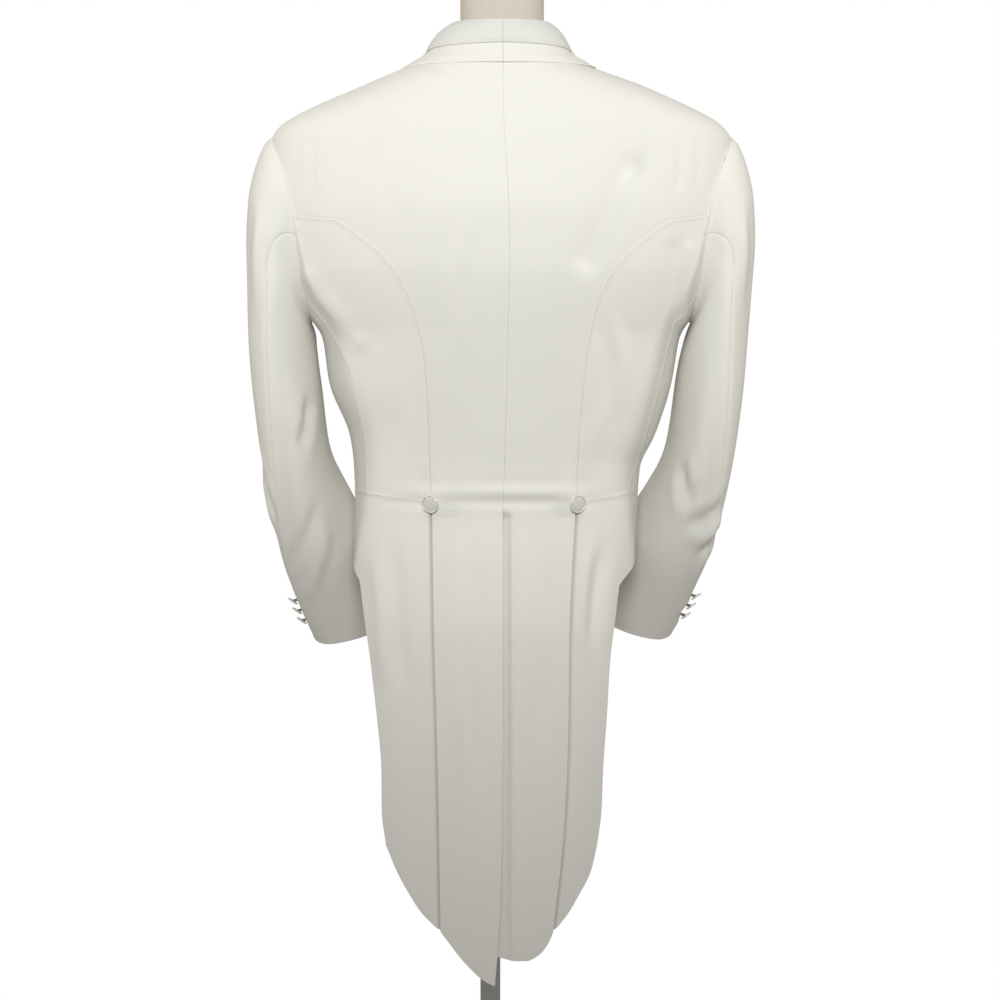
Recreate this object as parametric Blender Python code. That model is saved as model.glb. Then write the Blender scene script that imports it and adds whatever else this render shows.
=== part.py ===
"""White tie tailcoat on a limbless dress form, in metres with +Z up.

The coat faces -Y, so its back is at +Y and the wearer's left is +X. The origin lies on
the floor under the middle of the stand. One smooth body surface carries every flat-cut
panel. A point on it is named by its angle round from centre back, in degrees and positive
to the wearer's left, and by its height. The panels are drawn between seams on it.
"""
import math

import bmesh
import bpy
from mathutils import Vector

# ---- cloth ----
WALL = 0.0016           # thickness of one layer
SEAM = 0.0003           # gap between pieces that are sewn together
SLEEVE_SEAM = 0.0006    # the same round a sleeve, where the seams run aslant
WAIST_GAP = 0.0006      # extra gap below the waist seam, whose two sides are drawn apart
LAY = 0.0016            # air between a piece and the layer it lies on
PLEAT_TUCK = 0.012      # how far a tail skirt runs under the back panel
PLEAT_DEPTH = 0.0045    # how deep its tucked edge lies
PLEAT_ROLL = 0.0045     # width of its rolled fold
LAP_REACH = 0.020       # how far the right back runs past centre, under the left, at the vent
LAP_FOLD = -0.0135      # where the right back folds inwards beside the vent
LAP_TURN = 0.010        # width of that fold
LAP_DEPTH = 0.0050      # how deep it goes
LAP_TOP = 0.010         # height over which the fold sets in below the top of the vent
VENT_TOP = 0.981        # height of the top of the centre vent
WAIST = 0.987           # height of the two back waist buttons

# ---- cells of the panels; panels that meet at a seam share its rows ----
SHOULDER_CELLS = (8, 10, 13, 18, 28, 42, 48, 43)    # lengths of its rows from the neck down, as shares
CENTRE_CELLS = (6, 7, 8, 9, 11, 13, 14, 14) + (18,) * 4 + (16, 24, 32) + (40,) * 7
ARMHOLE_ROWS = 4
SIDE_ROWS = 10
UNDERARM_ROWS = 9
FRONT_CELLS = (20,) * 10 + (25,) * 9 + (20, 18, 14, 12, 10, 8, 7, 6)
TAIL_ROWS = 11
BACK_COLUMNS = 8
SIDE_BACK_COLUMNS = 4
FOREPART_COLUMNS = 9
SKIRT_COLUMNS = 7
SLEEVE_ROWS = 16
TOP_SLEEVE_COLUMNS = 9
UNDER_SLEEVE_COLUMNS = 9
COLLAR_ROWS = 20
SHAWL_COLUMNS = 5
ROW_STEPS = 24          # steps in which each row of a panel is measured
BORDER_COLUMNS = 3

# ---- the body that the coat fits: rings from the collar's fold down to the tail hem ----
# height, half width left, half width right, middle y, depth to back, depth to front, squareness
BODY = (
    (1.5025, 0.0460, 0.0440, 0.004, 0.0505, 0.0490, 2.10),
    (1.4930, 0.0625, 0.0560, 0.004, 0.0580, 0.0540, 2.10),
    (1.4800, 0.0720, 0.0635, 0.004, 0.0650, 0.0600, 2.10),
    (1.4705, 0.0790, 0.0700, 0.004, 0.0700, 0.0640, 2.10),
    (1.4550, 0.1075, 0.1000, 0.003, 0.0800, 0.0690, 2.15),
    (1.4500, 0.1240, 0.1170, 0.001, 0.0860, 0.0730, 2.20),
    (1.4365, 0.1548, 0.1520, 0.000, 0.0930, 0.0780, 2.30),
    (1.4220, 0.1890, 0.1860, -0.002, 0.1010, 0.0840, 2.40),
    (1.4080, 0.2200, 0.2170, -0.003, 0.1070, 0.0900, 2.40),
    (1.3950, 0.2420, 0.2390, -0.003, 0.1110, 0.0950, 2.40),
    (1.3800, 0.2520, 0.2490, -0.003, 0.1150, 0.0990, 2.40),
    (1.3450, 0.2550, 0.2510, -0.002, 0.1220, 0.1080, 2.40),
    (1.2950, 0.2500, 0.2440, 0.000, 0.1270, 0.1180, 2.40),
    (1.2450, 0.2380, 0.2320, 0.000, 0.1260, 0.1240, 2.40),
    (1.2130, 0.2250, 0.2190, 0.000, 0.1220, 0.1260, 2.35),
    (1.1900, 0.2130, 0.2070, 0.000, 0.1180, 0.1260, 2.30),
    (1.1690, 0.1970, 0.1930, 0.000, 0.1140, 0.1250, 2.30),
    (1.1150, 0.1890, 0.1830, 0.000, 0.1040, 0.1180, 2.25),
    (1.0570, 0.1660, 0.1640, 0.000, 0.0950, 0.1090, 2.20),
    (1.0240, 0.1620, 0.1490, 0.000, 0.0910, 0.1050, 2.20),
    (0.9860, 0.1610, 0.1465, 0.000, 0.0900, 0.1030, 2.20),
    (0.9200, 0.1630, 0.1440, 0.000, 0.0980, 0.1050, 2.20),
    (0.8400, 0.1670, 0.1450, 0.000, 0.1060, 0.1070, 2.20),
    (0.6500, 0.1700, 0.1460, 0.000, 0.1060, 0.1060, 2.20),
    (0.4400, 0.1700, 0.1460, 0.000, 0.1020, 0.1020, 2.20),
)

# ---- largest folds of the back: start x, start height, end x, end height, half width, rise ----
FOLDS = (
    (-0.145, 1.395, -0.136, 1.345, 0.014, -0.0035),
    (-0.136, 1.345, -0.090, 1.248, 0.014, -0.0050),
    (-0.184, 1.258, -0.182, 1.186, 0.009, -0.0030),
    (-0.197, 1.258, -0.192, 1.186, 0.008, 0.0030),
    (0.206, 1.230, 0.155, 1.160, 0.010, 0.0030),
)

# ---- seams and edges of the back: height, x on the left half, x on the right half ----
CENTRE_SEAM = ((1.500, 0.000), (1.400, -0.001), (1.330, -0.005), (1.270, -0.007),
               (1.180, -0.005), (1.080, -0.003), (VENT_TOP, 0.000))
PRINCESS_SEAM = ((1.289, 0.178, -0.180), (1.277, 0.160, -0.162), (1.254, 0.131, -0.133),
                 (1.221, 0.1065, -0.109), (1.184, 0.0925, -0.0965), (1.150, 0.0845, -0.090),
                 (1.110, 0.081, -0.0855), (1.060, 0.079, -0.0815), (WAIST, 0.076, -0.078))
SIDE_SEAM = ((1.180, 0.1905, -0.184), (1.156, 0.1760, -0.1775), (1.130, 0.163, -0.171),
             (1.092, 0.155, -0.162), (1.044, 0.1475, -0.149), (0.996, 0.1465, -0.134))
PLEAT_LINE = ((WAIST, 0.0760, -0.0780), (0.840, 0.0735, -0.0708), (0.740, 0.0708, -0.0696),
              (0.640, 0.0690, -0.0650), (0.527, 0.0674, -0.0535))
VENT_EDGE = ((VENT_TOP, 0.0000), (0.780, 0.0000), (0.640, 0.0008), (0.540, 0.0035), (0.469, 0.0085))
SKIRT_EDGE = ((0.905, 0.1560, -0.1260), (0.864, 0.1500, -0.1207), (0.816, 0.1425, -0.1150),
              (0.760, 0.1350, -0.1115), (0.701, 0.1295, -0.1070), (0.655, 0.1290, -0.1050),
              (0.618, 0.1245, -0.1000))
SKIRT_HEM = ((0.527, 0.0674, -0.0535), (0.548, 0.0885, -0.0700), (0.566, 0.1000, -0.0805),
             (0.590, 0.1130, -0.0930), (0.618, 0.1245, -0.1000))
BACK_HEM_LEFT = ((0.0674, 0.527), (0.0590, 0.516), (0.0435, 0.4965), (0.0205, 0.475), (0.0085, 0.469))
BACK_HEM_RIGHT = ((-0.0535, 0.527), (-0.0470, 0.513), (-0.0380, 0.503), (-0.0250, 0.497),
                  (-0.0100, 0.497), (0.0050, 0.500), (LAP_REACH, 0.504))

# ---- seams and edges round the front: angle from centre back, height ----
NECKLINE = ((0.0, 1.489), (90.0, 1.486), (118.0, 1.478))
FRONT_EDGE = ((118.0, 1.478), (136.0, 1.446), (147.0, 1.393), (155.0, 1.303), (158.5, 1.204),
              (159.0, 1.105), (157.0, 1.026), (154.0, 0.952))
FRONT_WAIST = ((100.0, 0.998), (125.0, 0.988), (142.0, 0.968), (154.0, 0.952))
SKIRT_FRONT = ((127.0, 0.987), (113.0, 0.962), (99.0, 0.934))

# ---- armhole: an oval on the body surface, each side of the shoulder line ----
ARMHOLE_MIDDLE = 1.2840
ARMHOLE_RISE = 0.0995
ARMHOLE_SWEEP = 17.0      # degrees
PRINCESS_START = 84.0     # place of the curved back seam round the armhole, from its top
SIDE_START = 135.0        # place of the side seam round it

# ---- sleeves: rings from the armhole to the cuff ----
# height, x left, x right, y, half across, half deep, tip, lean, turn (the last three in degrees)
SLEEVE = (
    (1.2837, 0.2325, 0.2265, 0.002, 0.1015, 0.068, 79.0, 0.0, 0.0),
    (1.2713, 0.2395, 0.2355, 0.001, 0.0945, 0.071, 73.0, 0.0, 0.0),
    (1.2510, 0.2430, 0.2385, 0.000, 0.0830, 0.075, 67.0, 0.0, 0.0),
    (1.2223, 0.2435, 0.2378, -0.002, 0.0660, 0.079, 57.0, 0.0, 0.0),
    (1.1917, 0.2425, 0.2345, -0.004, 0.0512, 0.081, 45.0, 0.0, 0.0),
    (1.1546, 0.2408, 0.2305, -0.005, 0.0412, 0.081, 28.0, 0.0, 2.0),
    (1.0977, 0.2350, 0.2250, -0.006, 0.0361, 0.080, 10.0, 2.0, 5.0),
    (1.0408, 0.2278, 0.2165, -0.010, 0.0335, 0.075, 3.0, 8.0, 9.0),
    (0.9864, 0.2132, 0.1995, -0.022, 0.0325, 0.070, 0.0, 18.0, 20.0),
    (0.9345, 0.1963, 0.1795, -0.046, 0.0315, 0.066, 0.0, 27.0, 33.0),
    (0.8892, 0.1798, 0.1605, -0.076, 0.0305, 0.062, 0.0, 31.0, 42.0),
    (0.8456, 0.1652, 0.1435, -0.108, 0.0295, 0.058, 0.0, 33.0, 48.0),
)
RIGHT_CUFF_LIFT = 0.006   # the right cuff hangs this much higher
HIND_SEAM_TOP = 96.0      # back seam of the sleeve round its first ring, from the crown
HIND_SEAM = 73.0          # and round the rings below the sleevehead
HIND_SEAM_SETTLE = 0.3    # share of the sleeve over which it moves from one to the other
FORE_SEAM = -75.0         # front seam of the sleeve, all the way down
ARMHOLE_GAP = 0.0019      # air between the sleeve's first ring and the body panels
SLEEVEHEAD = 0.20         # share of the sleeve over which it leaves the armhole's outline

# ---- two-tier shawl collar, from centre back (0) to the end of the lapel (1) ----
# station, angle and height of the fold, of the satin's edge, of the border's edge
COLLAR = (
    (0.00, 0.0, 1.5025, 0.0, 1.4770, 0.0, 1.4565),
    (0.15, 45.0, 1.5020, 45.0, 1.4750, 45.0, 1.4560),
    (0.30, 90.0, 1.5010, 90.0, 1.4710, 90.0, 1.4555),
    (0.42, 119.0, 1.4820, 108.0, 1.4500, 103.0, 1.4380),
    (0.55, 138.0, 1.4430, 119.0, 1.4020, 114.0, 1.3900),
    (0.70, 155.0, 1.3280, 132.0, 1.2990, 127.5, 1.2900),
    (0.85, 159.5, 1.1840, 142.0, 1.1650, 138.5, 1.1570),
    (1.00, 157.5, 1.0170, 152.5, 1.0110, 150.0, 1.0050),
)
FOLD_PAST_EDGE = 0.0032   # how far past the front edge the collar folds
BORDER_TUCK = 0.35        # share of the satin's width that the border runs up under it
STAND_DROP_BACK = 0.011   # how far the collar turns down inside the neck
STAND_DROP_FRONT = 0.000  # and behind the front edge
TURN_START = 0.30         # where the collar's turn begins to swing from down to back
TURN_LENGTH = 0.15
NECK_REACH = 0.060        # radius of the neck at the collar's back seam
NECK_SEAM_LENGTH = 0.05   # how far round the collar its back seam opens

# ---- buttons ----
BACK_BUTTON = 0.0100      # radius
BACK_BUTTON_THICK = 0.0042
BACK_BUTTON_STAND = 0.0030
CUFF_BUTTON = 0.0065
CUFF_BUTTON_THICK = 0.0016
CUFF_BUTTON_STAND = 0.0062
CUFF_BUTTON_ROWS = (0.905, 0.932, 0.959)      # places down the sleeve
CUFF_BUTTON_FACE = (0.55, 0.0, -0.83)         # the discs hang on their thread, facing out and down
CUFF_BUTTON_ROUND = 66.0                      # place round the sleeve, in front of the back seam
SHANK = 0.0014
SHANK_SIDES = 12
DISC_SIDES = 24

# ---- dress form ----
FORM_WIDTH = 0.203        # half width of its flat armhole ends
FORM_NECK = 0.0455        # half width of its neck
FORM_NECK_DEEP = 0.0490
FORM_NECK_MIDDLE = (0.001, 0.004)
FORM_NECK_TOP = 1.556
FORM_POINTS = 40
FORM_EASE = ((1.4520, 0.0030), (1.4300, 0.0030), (1.4000, 0.0070), (1.3600, 0.0095),
             (1.2900, 0.0110), (1.2200, 0.0100), (1.1500, 0.0100), (1.0800, 0.0090),
             (1.0200, 0.0080), (0.9750, 0.0120), (0.9400, 0.0220), (0.9180, 0.0340),
             (0.9050, 0.0500))            # height, how far the form lies inside the coat
FORM_NECK_ROWS = ((1.4590, 0.026), (1.4650, 0.014), (1.4730, 0.005), (1.4830, 0.001), (1.5000, 0.0),
                  (FORM_NECK_TOP, 0.0))   # height, how much wider than the neck
CAP_THICK = 0.008
CAP_EDGE = 0.002
POLE_RADIUS = 0.0110
POLE_X = 0.0140           # the pole meets the torso a little to the wearer's left
BASE_RADIUS = 0.170
BASE_THICK = 0.022
BASE_EDGE = 0.006
ROUND_SIDES = 64

# ---- finishes: red, green, blue, roughness, metallic ----
FINISHES = {
    "coat_cloth": (0.83, 0.80, 0.71, 0.55, 0.0),
    "collar_satin": (0.68, 0.66, 0.58, 0.35, 0.0),
    "covered_button": (0.66, 0.64, 0.58, 0.45, 0.0),
    "cuff_disc": (0.80, 0.80, 0.78, 0.25, 0.0),
    "form_linen": (0.69, 0.60, 0.50, 0.85, 0.0),
    "neck_cap_wood": (0.42, 0.27, 0.15, 0.40, 0.0),
    "stand_steel": (0.55, 0.55, 0.55, 0.35, 0.9),
}
SIDES = {"left": 1, "right": -1}


# ---- small tools ----

def smooth(value):
    """0 below 0, 1 above 1 and an even S between them."""
    value = min(1.0, max(0.0, value))
    return value * value * (3.0 - 2.0 * value)


def mix(a, b, share):
    return a + (b - a) * share


def along(table, key):
    """The columns of a table at a key, its first column, on curves that never overshoot."""
    rows = sorted(table)
    key = min(rows[-1][0], max(rows[0][0], key))
    k = max(i for i in range(len(rows) - 1) if rows[i][0] <= key)
    span = rows[k + 1][0] - rows[k][0]
    t = (key - rows[k][0]) / span

    def gradient(place, column):
        low, high = rows[place], rows[place + 1]
        return (high[column] - low[column]) / (high[0] - low[0])

    def slope(place, column):
        before = gradient(max(place - 1, 0), column)
        after = gradient(min(place, len(rows) - 2), column)
        if before * after <= 0.0:
            return 0.0
        return 2.0 * before * after / (before + after)

    values = []
    for column in range(1, len(rows[0])):
        start, end = rows[k][column], rows[k + 1][column]
        leave = slope(k, column) * span
        arrive = slope(k + 1, column) * span
        curve = (2 * t**3 - 3 * t**2 + 1) * start + (t**3 - 2 * t**2 + t) * leave
        values.append(curve + (3 * t**2 - 2 * t**3) * end + (t**3 - t**2) * arrive)
    return values


# ---- the body surface ----

def body_skin(angle, height):
    """Point on the smooth body, without its folds."""
    left, right, middle, back, front, square = along(BODY, height)
    turn = math.radians(angle)
    across, deep = math.sin(turn), math.cos(turn)
    width = left if across >= 0.0 else right
    depth = back if deep >= 0.0 else front
    reach = ((abs(across) / width) ** square + (abs(deep) / depth) ** square) ** (-1.0 / square)
    return Vector((reach * across, middle + reach * deep, height))


def body_slopes(angle, height):
    """How the body moves for one degree round and one metre up."""
    step_round, step_up = 0.5, 0.0005
    round_it = body_skin(angle + step_round, height) - body_skin(angle - step_round, height)
    up_it = body_skin(angle, height + step_up) - body_skin(angle, height - step_up)
    return round_it / (2 * step_round), up_it / (2 * step_up)


def fold_rise(point):
    """How far the largest folds lift the back at a point."""
    if point.y < 0.0:
        return 0.0
    rise = 0.0
    for x0, z0, x1, z1, half_width, height in FOLDS:
        run = Vector((x1 - x0, z1 - z0))
        here = Vector((point.x - x0, point.z - z0))
        share = min(1.0, max(0.0, here.dot(run) / run.length_squared))
        away = (here - run * share).length
        rise += height * math.exp(-((away / half_width) ** 2))
    return rise


def body_point(angle, height, out=0.0):
    """Point on the coat's inner face, moved out along the body's normal."""
    point = body_skin(angle, height)
    round_it, up_it = body_slopes(angle, height)
    outward = up_it.cross(round_it).normalized()
    return point + outward * (out + fold_rise(point))


def angle_at(x, height):
    """Angle of the back's point that lies at x."""
    low, high = 0.0, 90.0
    sign = 1.0 if x >= 0.0 else -1.0
    for _ in range(40):
        middle = (low + high) / 2.0
        if abs(body_skin(sign * middle, height).x) < abs(x):
            low = middle
        else:
            high = middle
    return sign * low


# ---- lines on the body: lists of (angle, height) ----

def lengths(line):
    """Running length of a line on the body, at each of its points."""
    points = [body_skin(*place) for place in line]
    total = [0.0]
    for before, after in zip(points, points[1:]):
        total.append(total[-1] + (after - before).length)
    return total


def at(line, share):
    """The point a share of the way along a line, by its length."""
    total = lengths(line)
    wanted = share * total[-1]
    k = max(i for i in range(len(line) - 1) if total[i] <= wanted or i == 0)
    t = (wanted - total[k]) / (total[k + 1] - total[k])
    return (mix(line[k][0], line[k + 1][0], t), mix(line[k][1], line[k + 1][1], t))


def even(line, cells):
    """The same line, in a number of cells of equal length."""
    return [line[0]] + [at(line, i / cells) for i in range(1, cells)] + [line[-1]]


def graded(line, cells):
    """The same line, in cells whose lengths are in the given shares."""
    running = [sum(cells[:i]) / sum(cells) for i in range(1, len(cells))]
    return [line[0]] + [at(line, share) for share in running] + [line[-1]]


def join(*lines):
    """Lines that follow each other, each point once."""
    whole = list(lines[0])
    for line in lines[1:]:
        whole += line[1:]
    return whole


def drawn(table, column, top, bottom, steps=48):
    """A line down the back from a table of x at each height."""
    heights = [mix(top, bottom, i / steps) for i in range(steps + 1)]
    return [(angle_at(along(table, z)[column], z), z) for z in heights]


def by_angle(table, side, steps=48):
    """A line from a table of angle and height, drawn smoothly through its rows."""
    keyed = [(i / (len(table) - 1), angle, z) for i, (angle, z) in enumerate(table)]
    line = [along(keyed, i / steps) for i in range(steps + 1)]
    return [(side * angle, z) for angle, z in line]


def hem(table, steps=48):
    """A line along a hem from a table of x and height."""
    keyed = [(i / (len(table) - 1), x, z) for i, (x, z) in enumerate(table)]
    line = [along(keyed, i / steps) for i in range(steps + 1)]
    return [(angle_at(x, z), z) for x, z in line]


def armhole(place, side):
    """Point of the armhole, by its place in degrees from the shoulder over the back."""
    turn = math.radians(place)
    return (side * (90.0 - ARMHOLE_SWEEP * math.sin(turn)), ARMHOLE_MIDDLE + ARMHOLE_RISE * math.cos(turn))


def armhole_line(start, end, side, steps=36):
    return [armhole(mix(start, end, i / steps), side) for i in range(steps + 1)]


def seams(side):
    """Every seam and edge of one half, each from its top or its back end."""
    column = 0 if side > 0 else 1
    shoulder = [(side * 90.0, mix(NECKLINE[1][1], armhole(0.0, side)[1], i / 60)) for i in range(61)]
    princess_top = armhole(PRINCESS_START, side)
    princess = [princess_top] + drawn(PRINCESS_SEAM, column, PRINCESS_SEAM[0][0], WAIST)
    side_top = armhole(SIDE_START, side)
    side_seam = [side_top] + drawn(SIDE_SEAM, column, SIDE_SEAM[0][0], SIDE_SEAM[-1][0])
    pleat_bottom = PLEAT_LINE[-1][0]
    skirt_hem = [(row[1 + column], row[0]) for row in SKIRT_HEM]
    lines = {
        "neckline": by_angle(NECKLINE, side),
        "centre": drawn(CENTRE_SEAM, 0, NECKLINE[0][1], VENT_TOP),
        "shoulder": graded(shoulder, SHOULDER_CELLS),
        "armhole_back": even(armhole_line(0.0, PRINCESS_START, side), ARMHOLE_ROWS),
        "princess": even(princess, SIDE_ROWS),
        "side": even(side_seam, SIDE_ROWS),
        "armhole_side": armhole_line(PRINCESS_START, SIDE_START, side),
        "armhole_front": even(armhole_line(SIDE_START, 360.0, side), UNDERARM_ROWS),
        "front": by_angle(FRONT_EDGE, side),
        "pleat": drawn(PLEAT_LINE, column, WAIST, pleat_bottom),
        "pleat_under": drawn([(z, left - PLEAT_TUCK, right + PLEAT_TUCK) for z, left, right in PLEAT_LINE],
                             column, WAIST, pleat_bottom),
        "vent": drawn(VENT_EDGE, 0, VENT_TOP, VENT_EDGE[-1][0]),
        "skirt_edge": drawn(SKIRT_EDGE, column, SKIRT_EDGE[0][0], SKIRT_EDGE[-1][0]),
        "skirt_front": by_angle(SKIRT_FRONT, side),
        "skirt_hem": hem(skirt_hem),
        "back_hem": hem(BACK_HEM_LEFT if side > 0 else BACK_HEM_RIGHT),
        "waist_side": [(mix(princess[-1][0], side_seam[-1][0], i / 12),
                        mix(princess[-1][1], side_seam[-1][1], i / 12)) for i in range(13)],
        "waist_front": by_angle([(abs(side_seam[-1][0]), side_seam[-1][1])] + list(FRONT_WAIST), side),
    }
    return lines


# ---- panels ----

def patch(inner, outer, top, bottom, columns, leads=()):
    """Rows of places between four edges, in cells as even as the rows are long.

    inner and outer hold one place for each row; top and bottom are lines from inner to
    outer. leads are the first columns' fixed distances from the inner edge.
    """
    rows = len(inner) - 1
    places = []
    for j in range(rows + 1):
        v = j / rows
        line = []
        for i in range(ROW_STEPS + 1):
            u = i / ROW_STEPS
            ends = [mix(a, b, v) for a, b in zip(at(top, u), at(bottom, u))]
            sides = [mix(a, b, u) for a, b in zip(inner[j], outer[j])]
            first = [mix(a, b, u) for a, b in zip(inner[0], outer[0])]
            last = [mix(a, b, u) for a, b in zip(inner[-1], outer[-1])]
            line.append(tuple(e + s - mix(f, l, v) for e, s, f, l in zip(ends, sides, first, last)))
        width = lengths(line)[-1]
        shares = [0.0] + [distance / width for distance in leads]
        rest = columns - len(leads)
        shares += [mix(shares[-1], 1.0, i / rest) for i in range(1, rest)]
        places.append([line[0]] + [at(line, share) for share in shares[1:]] + [line[-1]])
    return places


def inset(places, distance):
    """The same rows, their outline drawn in by a distance measured on the body."""
    rows, columns = len(places), len(places[0])
    outline = [(0, i) for i in range(columns)] + [(j, columns - 1) for j in range(1, rows)]
    outline += [(rows - 1, i) for i in range(columns - 2, -1, -1)] + [(j, 0) for j in range(rows - 2, 0, -1)]
    flat = {spot: Vector(places[spot[0]][spot[1]]) for spot in outline}
    turning = sum(flat[a].x * flat[b].y - flat[b].x * flat[a].y
                  for a, b in zip(outline, outline[1:] + outline[:1]))
    hand = 1.0 if turning > 0.0 else -1.0
    moved = [list(row) for row in places]
    for k, spot in enumerate(outline):
        here = flat[spot]
        round_it, up_it = body_slopes(*here)
        scale = Vector((round_it.length, up_it.length))
        before = (here - flat[outline[k - 1]]) * scale
        after = (flat[outline[(k + 1) % len(outline)]] - here) * scale
        into = [Vector((-step.y, step.x)).normalized() * hand for step in (before, after)]
        spread = max(0.25, 1.0 + into[0].dot(into[1]))
        shift = (into[0] + into[1]) * (distance / spread)
        moved[spot[0]][spot[1]] = (here.x + shift.x / scale.x, here.y + shift.y / scale.y)
    return moved


def slab(name, columns, rows, place, finish):
    """A flat slab one cell thick, each of its points (u, v, w) put in place by a function."""
    bm = bmesh.new()
    bmesh.ops.create_grid(bm, x_segments=columns, y_segments=rows, size=0.5)
    bmesh.ops.translate(bm, verts=bm.verts, vec=(0.5, 0.5, 0.0))
    grown = bmesh.ops.extrude_face_region(bm, geom=bm.faces[:], use_keep_orig=True)
    raised = [item for item in grown["geom"] if isinstance(item, bmesh.types.BMVert)]
    bmesh.ops.translate(bm, verts=raised, vec=(0.0, 0.0, 1.0))
    bmesh.ops.recalc_face_normals(bm, faces=bm.faces)
    for vert in bm.verts:
        vert.co = place(*vert.co)
    if bm.calc_volume(signed=True) < 0.0:
        bmesh.ops.reverse_faces(bm, faces=bm.faces)
    return finished(name, bm, finish)


def panel(name, places, finish="coat_cloth", out=0.0, sink=None):
    """A cloth panel on the body. sink gives how far a place (angle, height) lies inside it."""
    rows, columns = len(places) - 1, len(places[0]) - 1
    places = inset(places, SEAM / 2)

    def put(u, v, w):
        angle, height = places[round(v * rows)][round(u * columns)]
        depth = sink(angle, height) if sink else 0.0
        return body_point(angle, height, out - depth + w * WALL)

    return slab(name, columns, rows, put, finish)


def back_panel(name, side, lines):
    """Nape to tail hem; the left ends at the vent, and the right folds in and runs under it."""
    centre = graded(lines["centre"], CENTRE_CELLS)
    if side > 0:
        tail = even(lines["vent"], TAIL_ROWS)
        pleat = even(lines["pleat"], TAIL_ROWS)
    else:
        tucked = [(angle_at(LAP_REACH, z), z) for z in (VENT_TOP - 2.0 * LAP_TOP, BACK_HEM_RIGHT[-1][1])]
        first = lines["centre"][-1]
        tail = [first, (first[0], VENT_TOP - LAP_TOP)] + even(tucked, TAIL_ROWS - 2)
        starts = [(angle_at(along(PLEAT_LINE, z)[1], z), z)
                  for z in (WAIST, VENT_TOP - LAP_TOP, VENT_TOP - 2.0 * LAP_TOP)]
        rest = drawn(PLEAT_LINE, 1, VENT_TOP - 2.0 * LAP_TOP, PLEAT_LINE[-1][0])
        pleat = starts[:2] + even(rest, TAIL_ROWS - 2)
    outer = join(lines["shoulder"], lines["armhole_back"], lines["princess"], pleat)
    inner = join(centre, tail)
    top = [place for place in lines["neckline"] if abs(place[0]) <= 90.0]
    top = [(side * abs(angle), z) for angle, z in top[:-1]] + [lines["shoulder"][0]]

    def lap(angle, height):
        x = body_skin(angle, height).x
        return LAP_DEPTH * smooth((x - LAP_FOLD) / LAP_TURN) * smooth((VENT_TOP - height) / LAP_TOP)

    bottom = lines["back_hem"][::-1]
    places = patch(inner, outer, top, bottom, BACK_COLUMNS)
    panel(name, places, sink=lap if side < 0 else None)


def side_back_panel(name, lines):
    """Between the curved back seam and the side seam, armhole to waist."""
    places = patch(lines["princess"], lines["side"], lines["armhole_side"], lines["waist_side"],
                   SIDE_BACK_COLUMNS)
    panel(name, places)


def forepart_panel(name, side, lines):
    """Side seam, armhole and shoulder on one edge, the open front on the other."""
    outer = join(lines["side"][::-1], lines["armhole_front"], lines["shoulder"][::-1])
    front = graded(lines["front"][::-1], FRONT_CELLS)
    neck = [lines["shoulder"][0]] + [place for place in lines["neckline"] if abs(place[0]) > 90.0]
    places = patch(outer, front, lines["waist_front"], neck, FOREPART_COLUMNS)
    panel(name, places)


def skirt_panel(name, side, lines):
    """Tail skirt: waist seam round to the side front, cut away to the hem, tucked at the pleat."""
    column = 0 if side > 0 else 1
    inner = even(lines["pleat_under"], TAIL_ROWS)
    outer = even(join(lines["skirt_front"], lines["skirt_edge"]), TAIL_ROWS)
    round_front = [place for place in lines["waist_front"] if abs(place[0]) < abs(outer[0][0])]
    top = [inner[0]] + lines["waist_side"] + round_front + [outer[0]]
    top = [(angle, z - WAIST_GAP) for angle, z in top]
    inner[0], outer[0] = top[0], top[-1]
    bottom = [inner[-1]] + lines["skirt_hem"]

    def tuck(angle, height):
        line = along(PLEAT_LINE, height)[column]
        past = side * (body_skin(angle, height).x - line)
        return PLEAT_DEPTH * (1.0 - smooth((past - 0.001) / (PLEAT_ROLL - 0.001)))

    leads = (PLEAT_TUCK + 0.001, PLEAT_TUCK + PLEAT_ROLL)
    places = patch(inner, outer, top, bottom, SKIRT_COLUMNS, leads)
    panel(name, places, sink=tuck)


# ---- sleeves ----

def sleeve_point(share, place, side):
    """Inner face of the sleeve, a share of the way down and a place round from the crown."""
    keyed = [(i / (len(SLEEVE) - 1),) + row for i, row in enumerate(SLEEVE)]
    z, left, right, y, across, deep, tip, lean, turn = along(keyed, share)
    z += RIGHT_CUFF_LIFT * smooth(share * 2.0 - 1.0) if side < 0 else 0.0
    tip, lean, turn, round_it = (math.radians(value) for value in (tip, lean, turn, place))
    crown = Vector((math.cos(tip), 0.0, math.sin(tip)))
    hind = Vector((0.0, math.cos(lean), -math.sin(lean)))
    crown, hind = (crown * math.cos(turn) - hind * math.sin(turn),
                   hind * math.cos(turn) + crown * math.sin(turn))
    ring = crown * (across * math.cos(round_it)) + hind * (deep * math.sin(round_it))
    middle = Vector((left if side > 0 else right, y, z))
    ring.x *= side
    middle.x *= side
    point = middle + ring
    leave = smooth(share / SLEEVEHEAD)
    if leave < 1.0:
        start = body_point(*armhole(place, side), out=WALL + ARMHOLE_GAP)
        point = start.lerp(point, leave)
    return point


def sleeve_face(share, place, side, out=0.0):
    """Point of the sleeve moved out along its own normal."""
    step_down, step_round = 0.002, 1.0
    low, high = max(0.0, share - step_down), min(1.0, share + step_down)
    down_it = sleeve_point(high, place, side) - sleeve_point(low, place, side)
    round_it = sleeve_point(share, place + step_round, side) - sleeve_point(share, place - step_round, side)
    outward = round_it.cross(down_it).normalized() * -side
    return sleeve_point(share, place, side) + outward * out


def hind_seam(share):
    return mix(HIND_SEAM_TOP, HIND_SEAM, smooth(share / HIND_SEAM_SETTLE))


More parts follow.
